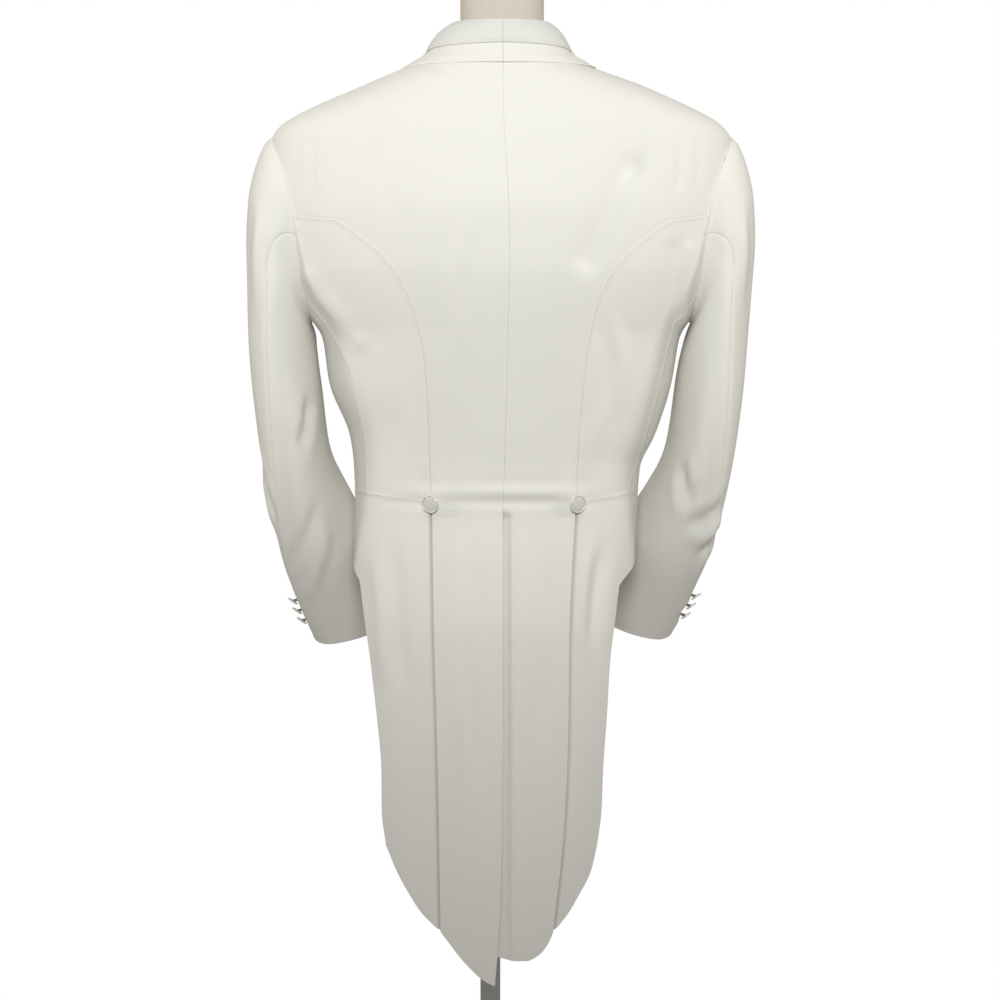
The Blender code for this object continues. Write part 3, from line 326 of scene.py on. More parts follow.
def along(table, key):
    """The columns of a table at a key, its first column, on curves that never overshoot."""
    rows = np.array(sorted(table), float)
    key = np.clip(np.asarray(key, float), rows[0, 0], rows[-1, 0])
    k = np.clip(np.searchsorted(rows[:, 0], key, side="right") - 1, 0, len(rows) - 2)
    span = np.diff(rows[:, 0])[:, None]
    gradient = np.diff(rows[:, 1:], axis=0) / span
    before, after = np.vstack([gradient[:1], gradient]), np.vstack([gradient, gradient[-1:]])
    product = before * after
    total = np.where(product > 0.0, before + after, 1.0)
    slope = np.where(product > 0.0, 2.0 * product / total, 0.0)
    t = ((key - rows[k, 0]) / span[k, 0])[..., None]
    curve = (2 * t**3 - 3 * t**2 + 1) * rows[k, 1:] + (t**3 - 2 * t**2 + t) * slope[k] * span[k]
    curve += (3 * t**2 - 2 * t**3) * rows[k + 1, 1:] + (t**3 - t**2) * slope[k + 1] * span[k]
    return np.moveaxis(curve, -1, 0)


def eased(table, spread, step):
    """The same table in even steps, its corners eased over a spread of the key."""
    keys = [row[0] for row in table]
    low, high = min(keys), max(keys)
    key = np.linspace(low, high, round((high - low) / step) + 1)
    reach = round(3 * spread / step)
    weight = np.exp(-0.5 * (np.arange(-reach, reach + 1) * step / spread) ** 2)
    columns = []
    for column in along(table, key):
        start = column[0] + (column[1] - column[0]) * np.arange(-reach, 0)
        end = column[-1] + (column[-1] - column[-2]) * np.arange(1, reach + 1)
        columns.append(np.convolve(np.concatenate([start, column, end]), weight / weight.sum(), "valid"))
    return np.column_stack([key] + columns)


def read(table, key):
    """The columns of an eased table at a key."""
    return [np.interp(key, table[:, 0], table[:, column]) for column in range(1, table.shape[1])]


def unit(vectors):
    """The same vectors at length 1."""
    return vectors / np.maximum(np.linalg.norm(vectors, axis=-1, keepdims=True), 1e-12)


def run_along(points):
    """Running length along rows of points."""
    steps = np.linalg.norm(np.diff(points, axis=-2), axis=-1)
    return np.concatenate([np.zeros(steps.shape[:-1] + (1,)), np.cumsum(steps, axis=-1)], axis=-1)


# ---- the body surface ----

BODY_EASED = eased(BODY, 0.006, 0.0005)


def body_skin(angle, height):
    """Points on the smooth body."""
    left, right, middle, back, front, square = read(BODY_EASED, height)
    turn = np.radians(angle)
    across, deep = np.sin(turn), np.cos(turn)
    width = np.where(across >= 0.0, left, right)
    depth = np.where(deep >= 0.0, back, front)
    reach = ((abs(across) / width) ** square + (abs(deep) / depth) ** square) ** (-1.0 / square)
    return np.stack([reach * across, middle + reach * deep, height + 0.0 * reach], -1)


def body_slopes(angle, height):
    """How the body moves for one degree round and one metre up."""
    step_round, step_up = 0.5, 0.0015
    round_it = body_skin(angle + step_round, height) - body_skin(angle - step_round, height)
    up_it = body_skin(angle, height + step_up) - body_skin(angle, height - step_up)
    return round_it / (2 * step_round), up_it / (2 * step_up)


def outward(angle, height):
    """The body's normal, away from it."""
    round_it, up_it = body_slopes(angle, height)
    return unit(np.cross(up_it, round_it))


def ridge(points, line, half_width, rise, fade=0.0):
    """Height of a soft ridge, or trough, that runs along a line over flat points."""
    line = np.array(line, float)
    runs = np.linalg.norm(np.diff(line, axis=0), axis=1)
    before = np.concatenate([[0.0], np.cumsum(runs)])
    nearest = np.full(points.shape[:-1], np.inf)
    place = np.zeros(points.shape[:-1])
    for k, run in enumerate(runs):
        step = (line[k + 1] - line[k]) / run
        share = np.clip((points - line[k]) @ step, 0.0, run)
        away = np.linalg.norm(points - line[k] - share[..., None] * step, axis=-1)
        closer = away < nearest
        nearest = np.where(closer, away, nearest)
        place = np.where(closer, before[k] + share, place)
    lift = rise * np.exp(-((nearest / half_width) ** 2))
    if fade:
        ends = np.minimum(place, before[-1] - place) / (fade * before[-1])
        lift = lift - 0.45 * rise * np.exp(-(((nearest - 2.0 * half_width) / half_width) ** 2))
        lift *= smooth(ends) * (1.0 + 0.25 * np.sin(40.0 * place + 9.0 * line[0, 0]))
    return lift


def fold_rise(point):
    """How far the largest folds lift the back at a point."""
    rise = np.zeros(point.shape[:-1])
    for x0, z0, x1, z1, half_width, height in FOLDS:
        rise += ridge(point[..., [0, 2]], ((x0, z0), (x1, z1)), half_width, height)
    return np.where(point[..., 1] < 0.0, 0.0, rise)


def body_point(angle, height, out=0.0):
    """Points on the coat's inner face, moved out along the body's normal."""
    point = body_skin(angle, height)
    return point + outward(angle, height) * (out + fold_rise(point))[..., None]


def angle_at(x, height):
    """Angle of the back's point that lies at x."""
    x, height = np.broadcast_arrays(np.asarray(x, float), np.asarray(height, float))
    sign = np.where(x >= 0.0, 1.0, -1.0)
    low, high = np.zeros(x.shape), np.full(x.shape, 90.0)
    for _ in range(40):
        middle = (low + high) / 2.0
        inside = abs(body_skin(sign * middle, height)[..., 0]) < abs(x)
        low, high = np.where(inside, middle, low), np.where(inside, high, middle)
    return sign * low


# ---- lines on the body: rows of (angle, height) ----

def lengths(line):
    """Running length of a line on the body, at each of its places."""
    return run_along(body_skin(line[..., 0], line[..., 1]))


def at(line, share):
    """The places a share of the way along a line, by its length."""
    total = lengths(line)
    wanted = np.asarray(share) * total[-1]
    return np.stack([np.interp(wanted, total, line[:, 0]), np.interp(wanted, total, line[:, 1])], -1)


def drawn(table, column, top, bottom, steps=96):
    """A line down the back from a table of x at each height."""
    heights = np.linspace(top, bottom, steps + 1)
    return np.column_stack([angle_at(along(table, heights)[column], heights), heights])


def through(table, steps=96):
    """A smooth line through the rows of a table of two columns."""
    keyed = [(i / (len(table) - 1),) + tuple(row) for i, row in enumerate(table)]
    return np.column_stack(list(along(keyed, np.linspace(0.0, 1.0, steps + 1))))


def by_angle(table, side):
    """A line from a table of angle and height."""
    return through(table) * (side, 1.0)


def hem(table):
    """A line along a hem from a table of x and height."""
    line = through(table)
    return np.column_stack([angle_at(line[:, 0], line[:, 1]), line[:, 1]])


def armhole(place, side):
    """Places of the armhole, in degrees from the shoulder over the back."""
    turn = np.radians(place)
    angle = side * (90.0 - ARMHOLE_SWEEP * np.sin(turn))
    return np.stack([angle, ARMHOLE_MIDDLE + ARMHOLE_RISE * np.cos(turn)], -1)


def seams(side):
    """Every seam and edge of one half, each from its top or its back end."""
    column = 0 if side > 0 else 1
    top = NECKLINE[1][1]
    shoulder = np.column_stack([np.full(61, side * 90.0), np.linspace(top, armhole(0.0, side)[1], 61)])
    princess = drawn(PRINCESS_SEAM, column, PRINCESS_SEAM[0][0], WAIST)
    princess = np.vstack([armhole(PRINCESS_START, side), princess])
    side_seam = drawn(SIDE_SEAM, column, SIDE_SEAM[0][0], SIDE_SEAM[-1][0])
    side_seam = np.vstack([armhole(SIDE_START, side), side_seam])
    under = [(z, left - PLEAT_TUCK, right + PLEAT_TUCK) for z, left, right in PLEAT_LINE]
    pleat_bottom = PLEAT_LINE[-1][0]
    return {
        "neckline": by_angle(NECKLINE, side),
        "centre": drawn(CENTRE_SEAM, 0, NECKLINE[0][1], VENT_TOP),
        "shoulder": shoulder,
        "armhole_back": armhole(np.linspace(0.0, PRINCESS_START, 37), side),
        "princess": princess,
        "side": side_seam,
        "armhole_side": armhole(np.linspace(PRINCESS_START, SIDE_START, 37), side),
        "armhole_front": armhole(np.linspace(SIDE_START, 360.0, 37), side),
        "front": by_angle(FRONT_EDGE, side),
        "pleat": drawn(PLEAT_LINE, column, WAIST, pleat_bottom),
        "pleat_under": drawn(under, column, WAIST, pleat_bottom),
        "vent": drawn(VENT_EDGE, 0, VENT_TOP, VENT_EDGE[-1][0]),
        "skirt_edge": drawn(SKIRT_EDGE, column, SKIRT_EDGE[0][0], SKIRT_EDGE[-1][0]),
        "skirt_front": by_angle(SKIRT_FRONT, side),
        "skirt_hem": hem([(row[1 + column], row[0]) for row in SKIRT_HEM]),
        "back_hem": hem(BACK_HEM_LEFT if side > 0 else BACK_HEM_RIGHT),
        "waist_side": np.linspace(princess[-1], side_seam[-1], 13),
        "waist_front": by_angle([(abs(side_seam[-1][0]), side_seam[-1][1])] + list(FRONT_WAIST), side),
    }


# ---- rows and columns of a panel ----

def measured(total, cell, first=LEADS, last=LEADS):
    """Running distances in even cells with the given finer ones at both ends."""
    total = np.atleast_1d(np.asarray(total, float))
    count = max(2, round((total.max() - first[-1] - last[-1]) / cell))
    middle = first[-1] + np.outer(total - first[-1] - last[-1], np.linspace(0.0, 1.0, count + 1))
    start = np.tile((0.0,) + tuple(first[:-1]), (len(total), 1))
    end = total[:, None] - np.tile(tuple(last[-2::-1]) + (0.0,), (len(total), 1))
    return np.hstack([start, middle, end])


def running(segments, steps):
    """Places down an edge at whole and part rows. segments are (line, cells) in order."""
    places, start = np.empty((len(steps), 2)), 0
    for line, cells in segments:
        cells = np.ones(cells) if np.isscalar(cells) else np.array(cells, float)
        shares = np.concatenate([[0.0], np.cumsum(cells)]) / cells.sum()
        here = (steps >= start - 1e-9) & (steps <= start + len(cells) + 1e-9)
        places[here] = at(line, np.interp(steps[here] - start, np.arange(len(cells) + 1), shares))
        start += len(cells)
    return places


def count_rows(segments):
    """The number of rows of each segment."""
    return [cells if np.isscalar(cells) else len(cells) for _, cells in segments]


def inset(places, distance):
    """The same places, their outline drawn in by a distance measured on the body."""
    rows, columns = places.shape[:2]
    down, across = np.arange(rows), np.arange(columns)
    j = np.concatenate([0 * across, down[1:], 0 * across[1:] + rows - 1, down[-2:0:-1]])
    i = np.concatenate([across, 0 * down[1:] + columns - 1, across[-2::-1], 0 * down[-2:0:-1]])
    here = places[j, i]
    ahead, behind = np.roll(here, -1, axis=0), np.roll(here, 1, axis=0)
    turning = (here[:, 0] * ahead[:, 1] - ahead[:, 0] * here[:, 1]).sum()
    scale = np.stack([np.linalg.norm(slope, axis=-1) for slope in body_slopes(here[:, 0], here[:, 1])], -1)
    steps = [unit((here - behind) * scale), unit((ahead - here) * scale)]
    into = [np.stack([-step[:, 1], step[:, 0]], -1) * np.sign(turning) for step in steps]
    spread = np.maximum(0.25, 1.0 + (into[0] * into[1]).sum(axis=-1))
    moved = places.copy()
    moved[j, i] = here + (into[0] + into[1]) * (distance / spread)[:, None] / scale
    return moved


def edge_gaps(distances, widths, wanted):
    """Distance of each of a grid's places from its inner, outer, top and bottom edge."""
    down = np.tile(wanted[:, None], (1, distances.shape[1]))
    return distances, widths[:, None] - distances, down, wanted[-1] - down


def patch(inner, outer, top, bottom, first=LEADS, last=LEADS):
    """Places between four edges, with the measures that its cloth needs.

    inner and outer are segments of lines with the rows that each has; top and bottom are
    lines from inner to outer. Gives the places, each one's distance from the inner, outer,
    top and bottom edge, and its row.
    """
    cell = bpy.context.scene.tailcoat_cloth.cell
    whole = np.arange(sum(count_rows(inner)) + 1.0)
    running_length = (lengths(running(inner, whole)) + lengths(running(outer, whole))) / 2.0
    wanted = measured(running_length[-1], cell)[0]
    corners = np.cumsum(count_rows(inner)[:-1] + [0])[:-1].tolist()
    corners += np.cumsum(count_rows(outer)).tolist()[:-1]
    for corner in corners:
        wanted[np.argmin(abs(wanted - running_length[corner]))] = running_length[corner]
    steps = np.interp(wanted, running_length, whole)
    inner, outer = running(inner, steps), running(outer, steps)
    v, u = (steps / steps[-1])[:, None, None], np.linspace(0.0, 1.0, ROW_STEPS + 1)
    across = u[None, :, None]
    ends = mix(at(top, u)[None], at(bottom, u)[None], v)
    sides = mix(inner[:, None], outer[:, None], across)
    line = ends + sides - mix(mix(inner[0], outer[0], across), mix(inner[-1], outer[-1], across), v)
    widths = lengths(line)
    distances = measured(widths[:, -1], cell, first, last)
    places = np.empty(distances.shape + (2,))
    for j, row in enumerate(line):
        for axis in (0, 1):
            places[j, :, axis] = np.interp(distances[j], widths[j], row[:, axis])
    places = inset(places, SHELL_GAP / 2.0)
    return places, edge_gaps(distances, widths[:, -1], wanted), steps[:, None] + 0.0 * distances


# ---- cloth shells ----

def shell(name, middle, gaps, edges, facing, finish):
    """A thin closed shell of cloth on a grid of middle points.

    gaps are the distances from its four edges. edges says where each of them is sewn and where
    it is topstitched, as four masks each. facing is +1 or -1, so that the shell's right side
    points outwards.
    """
    cloth = bpy.context.scene.tailcoat_cloth
    rows, columns = middle.shape[0] - 1, middle.shape[1] - 1
    sewn, stitched = edges
    far = np.full(middle.shape[:2], 1.0)
    seam_gap, stitch_gap = far.copy(), far.copy()
    for gap, is_sewn, is_stitched in zip(gaps, sewn, stitched):
        seam_gap = np.minimum(seam_gap, np.where(is_sewn, gap, far))
        stitch_gap = np.minimum(stitch_gap, np.where(is_stitched, gap, far))
    edge_gap = np.minimum.reduce([np.broadcast_to(gap, far.shape) for gap in gaps])
    beside = np.minimum(gaps[0], gaps[1]) < np.minimum(gaps[2], gaps[3])
    run = np.where(beside, gaps[2], gaps[0])
    normal = unit(np.cross(np.gradient(middle, axis=0), np.gradient(middle, axis=1))) * facing
    fine, drift, beat = PUCKER_WAVES
    ripple = np.sin(run / fine + 1.3 * np.sin(run / drift)) * np.sin(run / beat + 0.7)
    from_stitches = stitch_gap - STITCH_INSET
    lift = cloth.pucker * ripple * np.exp(-seam_gap / PUCKER_REACH) * (1.0 - np.exp(-seam_gap / 0.0015))
    raised = smooth((seam_gap - SEAM_WIDTH / 2.0) / 0.002) * (1.0 - smooth((seam_gap - ALLOWANCE) / 0.005))
    lift += ALLOWANCE_RISE * raised
    lift -= SEAM_DIP * np.exp(-((seam_gap / SEAM_WIDTH) ** 2))
    lift -= SEAM_DIP * np.exp(-((from_stitches / STITCH_WIDTH) ** 2))
    lift += 0.4 * cloth.pucker * ripple * np.exp(-((from_stitches / 0.005) ** 2))
    middle = middle + normal * lift[..., None]
    turned = np.clip(edge_gap / (0.5 * cloth.thickness), 0.0, 1.0)
    half = cloth.thickness / 2.0 * mix(EDGE_ROUND, 1.0, np.sqrt(1.0 - (1.0 - turned) ** 2))
    faces = (middle - normal * half[..., None], middle + normal * half[..., None])

    bm = bmesh.new()
    bmesh.ops.create_grid(bm, x_segments=columns, y_segments=rows, size=0.5)
    bmesh.ops.translate(bm, verts=bm.verts, vec=(0.5, 0.5, 0.0))
    grown = bmesh.ops.extrude_face_region(bm, geom=bm.faces[:], use_keep_orig=True)
    raised = [item for item in grown["geom"] if isinstance(item, bmesh.types.BMVert)]
    bmesh.ops.translate(bm, verts=raised, vec=(0.0, 0.0, 1.0))
    bmesh.ops.recalc_face_normals(bm, faces=bm.faces)
    seam_layer = bm.verts.layers.float.new("seam_gap")
    stitch_layer = bm.verts.layers.float.new("stitch_gap")
    weave = bm.loops.layers.uv.new("weave")
    spots = {}
    for vert in bm.verts:
        spot = (round(vert.co.y * rows), round(vert.co.x * columns))
        spots[vert] = spot
        vert[seam_layer] = seam_gap[spot]
        vert[stitch_layer] = stitch_gap[spot]
        vert.co = faces[1 if vert.co.z > 0.5 else 0][spot]
    for face in bm.faces:
        for loop in face.loops:
            spot = spots[loop.vert]
            loop[weave].uv = (gaps[0][spot], gaps[2][spot])
    if bm.calc_volume(signed=True) < 0.0:
        bmesh.ops.reverse_faces(bm, faces=bm.faces)
    piece = finished(name + "_cloth", bm, finish)
    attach(piece, "root")
    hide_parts(name)
    width, length, area = CUTS[name[:name.rindex("_")]]


def finished(name, bm, finish, sharp=60.0):
    """A mesh object at the origin with its material, shaded smooth."""
    mesh = bpy.data.meshes.new(name)
    bm.to_mesh(mesh)
    bm.free()
    mesh.shade_smooth()
    mesh.set_sharp_from_angle(angle=math.radians(sharp))
    mesh.materials.append(bpy.data.materials[finish])
    piece = bpy.data.objects.new(name, mesh)
    bpy.context.scene.collection.objects.link(piece)
    return piece


# ---- panels on the body ----

def vertical(x, z, scale, seed):
    """Uneven soft drape, mostly up and down, between about -1 and 1."""
    wave = np.sin(x / (0.021 * scale) + 2.2 * z + seed) * 0.5
    wave += np.sin(x / (0.013 * scale) - 5.1 * z + 1.9 * seed) * 0.3
    return wave + np.sin(x / (0.034 * scale) + 7.0 * z + 3.1 * seed) * 0.4


def relief(point, table, mirrored):
    """Lift of the listed creases over points of the body, by x and height."""
    flat = np.stack([point[..., 0] * mirrored, point[..., 2]], -1)
    lift = np.zeros(point.shape[:-1])
    for half_width, rise, *line in table:
        lift += ridge(flat, line, half_width, rise, fade=0.3)
    return lift


def drape(point, tail):
    """Finer folds of the hanging cloth: those of the back, the front and the tails."""
    x, z = point[..., 0], point[..., 2]
    behind = smooth((point[..., 1] + 0.01) / 0.03)
    depth = bpy.context.scene.tailcoat_cloth.crease
    lift = relief(point, BACK_CREASES, 1.0) * behind
    lift += (relief(point, FRONT_CREASES, 1.0) + relief(point, FRONT_CREASES, -1.0)) * (1.0 - behind)
    hang = smooth((WAIST - z) / 0.35)
    waist = np.exp(-(((z - 1.06) / 0.07) ** 2))
    lift += vertical(x, z, 1.0, 0.6) * (0.0005 + 0.0006 * waist) * (1.0 - hang)
    if tail:
        lift += vertical(x, z, 1.35, 2.0) * 0.0019 * hang
    return lift * depth


def panel(name, side, rows, edges, held="draped", sink=None, first=LEADS):
    """A cloth panel on the body, between its inner and outer edges and its top and bottom."""
    places, gaps, steps = patch(*rows, first=first)
    angle, height = places[..., 0], places[..., 1]
    skin = body_skin(angle, height)
    out = WALL / 2.0 + fold_rise(skin) + drape(skin, held == "hung")
    if sink:
        out = out - sink(skin[..., 0], angle, height)
    middle = skin + outward(angle, height) * out[..., None]
    shell(name, middle, gaps, edges(steps), side, "coat_cloth")


def back_panel(name, side):
    """Nape to tail hem; the left ends at the vent, and the right folds in and runs under it."""
    lines = seams(side)
    sewn_rows = len(CENTRE_CELLS)
    inner = [(lines["centre"], CENTRE_CELLS)]
    outer = [(lines["shoulder"], SHOULDER_CELLS), (lines["armhole_back"], ARMHOLE_ROWS),
             (lines["princess"], SIDE_ROWS)]
    first, fold_top, fold_end = lines["centre"][-1], VENT_TOP - LAP_TOP, VENT_TOP - 2.0 * LAP_TOP
    if side > 0:
        inner += [(lines["vent"], TAIL_ROWS)]
        outer += [(lines["pleat"], TAIL_ROWS)]
    else:
        tucked = np.array([(angle_at(LAP_REACH, z), z) for z in (fold_end, BACK_HEM_RIGHT[-1][1])])
        turn = np.array([first[0], fold_top])
        starts = np.array([(angle_at(along(PLEAT_LINE, z)[1], z), z) for z in (WAIST, fold_top, fold_end)])
        rest = drawn(PLEAT_LINE, 1, fold_end, PLEAT_LINE[-1][0])
        inner += [(np.array([first, turn]), 1), (np.array([turn, tucked[0]]), 1), (tucked, TAIL_ROWS - 2)]
        outer += [(starts[:2], 1), (starts[1:], 1), (rest, TAIL_ROWS - 2)]
    neck = lines["neckline"]
    top = np.vstack([neck[abs(neck[:, 0]) < 89.9], lines["shoulder"][:1]])

    def lap(x, angle, height):
        return LAP_DEPTH * smooth((x - LAP_FOLD) / LAP_TURN) * smooth((VENT_TOP - height) / LAP_TOP)

    def edges(steps):
        above = steps < sewn_rows - 0.01
        hanging = ~above
        never = steps < -1.0
        return (above, above, ~never, never), (hanging & (side > 0), never, never, ~never)

    first_leads = LEADS if side > 0 else tuple(0.0016 * k for k in range(1, 24))
    panel(name, side, (inner, outer, top, lines["back_hem"][::-1]), edges, "hung",
          sink=lap if side < 0 else None, first=first_leads)


def side_back_panel(name, side):
    """Between the curved back seam and the side seam, armhole to waist."""
    lines = seams(side)

    def edges(steps):
        always, never = steps > -1.0, steps < -1.0
        return (always,) * 4, (never,) * 4

    rows = [(lines["princess"], SIDE_ROWS)], [(lines["side"], SIDE_ROWS)]
    panel(name, side, rows + (lines["armhole_side"], lines["waist_side"]), edges)


def forepart_panel(name, side):
    """Side seam, armhole and shoulder on one edge, the open front on the other."""
    lines = seams(side)
    outer = [(lines["side"][::-1], SIDE_ROWS), (lines["armhole_front"], UNDERARM_ROWS),
             (lines["shoulder"][::-1], SHOULDER_CELLS[::-1])]
    front = [(lines["front"][::-1], FRONT_CELLS)]
    neck = lines["neckline"]
    neck = np.vstack([lines["shoulder"][:1], neck[abs(neck[:, 0]) > 90.1]])

    def edges(steps):
        always, never = steps > -1.0, steps < -1.0
        return (always, never, always, always), (never,) * 4

    panel(name, -side, (outer, front, lines["waist_front"], neck), edges)


def skirt_panel(name, side):
    """Tail skirt: waist seam round to the side front, cut away to the hem, tucked at the pleat."""
    column = 0 if side > 0 else 1
    lines = seams(side)
    under, cut_away = lines["pleat_under"], np.vstack([lines["skirt_front"], lines["skirt_edge"][1:]])
    edge = at(cut_away, np.linspace(0.0, 1.0, 97))
    front = lines["waist_front"]
    front = front[abs(front[:, 0]) < abs(edge[0, 0])]
    top = np.vstack([under[:1], lines["waist_side"], front, edge[:1]])
    bottom = np.vstack([under[-1:], lines["skirt_hem"]])
    under[0], edge[0] = top[0], top[-1]

    def tuck(x, angle, height):
        past = side * (x - along(PLEAT_LINE, height)[column])
        return PLEAT_DEPTH * (1.0 - smooth((past - 0.001) / (PLEAT_ROLL - 0.001)))

    def edges(steps):
        always, never = steps > -1.0, steps < -1.0
        return (never, never, always, never), (never, always, never, always)

    first = (0.001, 0.004, 0.008, 0.0115, 0.0125) + tuple(0.0125 + 0.0006 * k for k in range(1, 10))
    panel(name, side, ([(under, TAIL_ROWS)], [(edge, TAIL_ROWS)], top, bottom), edges, "hung",
          sink=tuck, first=first + (0.0195,))


# ---- sleeves ----

SLEEVE_EASED = eased([(i / (len(SLEEVE) - 1),) + row for i, row in enumerate(SLEEVE)], 0.018, 0.002)


def sleeve_point(share, place, side):
    """Inner face of the sleeve, a share of the way down and a place round from the crown."""
    z, left, right, y, across, deep, tip, lean, turn = read(SLEEVE_EASED, share)
    if side < 0:
        z = z + RIGHT_CUFF_LIFT * smooth(share * 2.0 - 1.0)
    tip, lean, turn, around = (np.radians(value) for value in (tip, lean, turn, place))
    none = 0.0 * tip
    crown = np.stack([np.cos(tip), none, np.sin(tip)], -1)
    hind = np.stack([none, np.cos(lean), -np.sin(lean)], -1)
    cosine, sine = np.cos(turn)[..., None], np.sin(turn)[..., None]
    crown, hind = crown * cosine - hind * sine, hind * cosine + crown * sine
    ring = crown * (across * np.cos(around))[..., None] + hind * (deep * np.sin(around))[..., None]
    middle = np.stack([left if side > 0 else right, y, z], -1)
    point = (middle + ring) * (side, 1.0, 1.0)
    start = armhole(place, side)
    start = body_point(start[..., 0], start[..., 1], WALL + ARMHOLE_GAP)
    return mix(start, point, smooth(share / SLEEVEHEAD)[..., None])


def sleeve_outward(share, place, side):
    """The sleeve's normal, away from it."""
    low, high = np.clip(share - 0.002, 0.0, 1.0), np.clip(share + 0.002, 0.0, 1.0)
    down = sleeve_point(high, place, side) - sleeve_point(low, place, side)
    round_it = sleeve_point(share, place + 1.0, side) - sleeve_point(share, place - 1.0, side)
    return unit(np.cross(round_it, down)) * -side


def hind_seam(share):
    """Place of the sleeve's back seam round it, a share of the way down."""
    return mix(HIND_SEAM_TOP, HIND_SEAM, smooth(share / HIND_SEAM_SETTLE))


def fore_seam(share):
    """Place of its front seam, as the start of the top sleeve."""
    return FORE_SEAM + 0.0 * share


def fore_seam_behind(share):
    """The same seam, as the end of the under sleeve."""
    return FORE_SEAM + 360.0 + 0.0 * share


def sleeve_piece(name, side, start, end):
    """Part of the sleeve between two seams, each a place round it at each share down it."""
    cloth = bpy.context.scene.tailcoat_cloth
    hand = "left" if side > 0 else "right"
    shares = np.linspace(0.0, 1.0, SLEEVE_SAMPLES)
    samples = [sleeve_point(shares, place + 0.0 * shares, side) for place in (0.0, 90.0, 180.0, 270.0)]
    steps = sum(np.linalg.norm(np.diff(sample, axis=0), axis=1) for sample in samples) / 4.0
    long = np.concatenate([[0.0], np.cumsum(steps)])
    wanted = measured(long[-1], cloth.cell)[0]
    share = np.interp(wanted, long, shares)
    u = np.linspace(0.0, 1.0, ROW_STEPS + 1)
    around = mix(start(share)[:, None], end(share)[:, None], u)
    along_row = sleeve_point(share[:, None] + 0.0 * around, around, side)
    width = run_along(along_row)
    total = width[:, -1] - SHELL_GAP
    distances = measured(total, cloth.cell)
    place = np.array([np.interp(row + SHELL_GAP / 2.0, w, a) for row, w, a in zip(distances, width, around)])
    share = share[:, None] + 0.0 * place
    turned = np.where(place > 180.0, place - 360.0, place)
    flat = np.stack([turned * 0.001, share * long[-1]], -1)
    lift = np.zeros(share.shape)
    for half_width, rise, *line in SLEEVE_CREASES[hand] + SLEEVE_CREASES["both"]:
        spots = [(degrees * 0.001, part * long[-1]) for degrees, part in line]
        lift += ridge(flat, spots, half_width, rise, fade=0.3)
    fall = smooth((share - 0.12) / 0.2)
    lift += 0.0006 * fall * np.sin(np.radians(3.0 * place) + 9.0 * share + side)
    lift += 0.0005 * fall * np.sin(np.radians(5.0 * place) - 14.0 * share)
    lift *= cloth.crease * smooth((long[-1] * share - 0.01) / 0.03)
    normal = sleeve_outward(share, place, side)
    middle = sleeve_point(share, place, side) + normal * (WALL / 2.0 + lift)[..., None]
    top = armhole(place, side)
    settle = (HEAD_SETTLE * (1.0 - smooth(wanted / HEAD_ROLL)))[:, None, None]
    middle = middle - outward(top[..., 0], top[..., 1]) * settle
    always, never = share > -1.0, share < -1.0
    edges = (always, always, always, never), (never, never, never, always)
    shell(name, middle, edge_gaps(distances, total, wanted), edges, side, "coat_cloth")


# ---- collar ----

def collar_station(station, side):
    """Places of the fold, the satin's edge and the border's edge at each station."""
    fold_angle, fold_z, satin_angle, satin_z, border_angle, border_z = along(COLLAR, station)
    front = [(z, angle) for angle, z in FRONT_EDGE]
    reach = body_skin(fold_angle, fold_z)
    past = along(front, fold_z)[0] + np.degrees(FOLD_PAST_EDGE / np.hypot(reach[..., 0], reach[..., 1]))
    fold_angle = np.where(station > COLLAR[3][0], past, fold_angle)
    seam = np.degrees(SHELL_GAP / 2.0 / NECK_REACH) * (1.0 - smooth(station * 20.0))
    return [np.stack([side * (angle + seam), z], -1) for angle, z in
            ((fold_angle, fold_z), (satin_angle, satin_z), (border_angle, border_z))]


def collar_rows():
    """Stations down the collar, close together at centre back and at the lapel's end."""
    stations = np.linspace(0.0, 1.0, 401)
    _, satin, _ = collar_station(stations, 1)
    long = lengths(satin)
    wanted = measured(long[-1], bpy.context.scene.tailcoat_cloth.cell)[0]
    return np.interp(wanted, long, stations), wanted


def collar_piece(name, side, sections, finish):
    """A collar shell through its cross-sections, from its outer edge inwards."""
    stations, wanted = collar_rows()
    line = sections(stations, side)
    widths = run_along(line)
    distances = measured(widths[:, -1], bpy.context.scene.tailcoat_cloth.cell * 0.7, last=LEADS[:3])
    middle = np.empty(distances.shape + (3,))
    for j, row in enumerate(line):
        for axis in range(3):
            middle[j, :, axis] = np.interp(distances[j], widths[j], row[:, axis])
    always, never = distances > -1.0, distances < -1.0
    edges = (never, never, always, never), (never,) * 4
    shell(name, middle, edge_gaps(distances, widths[:, -1], wanted), edges, side, finish)


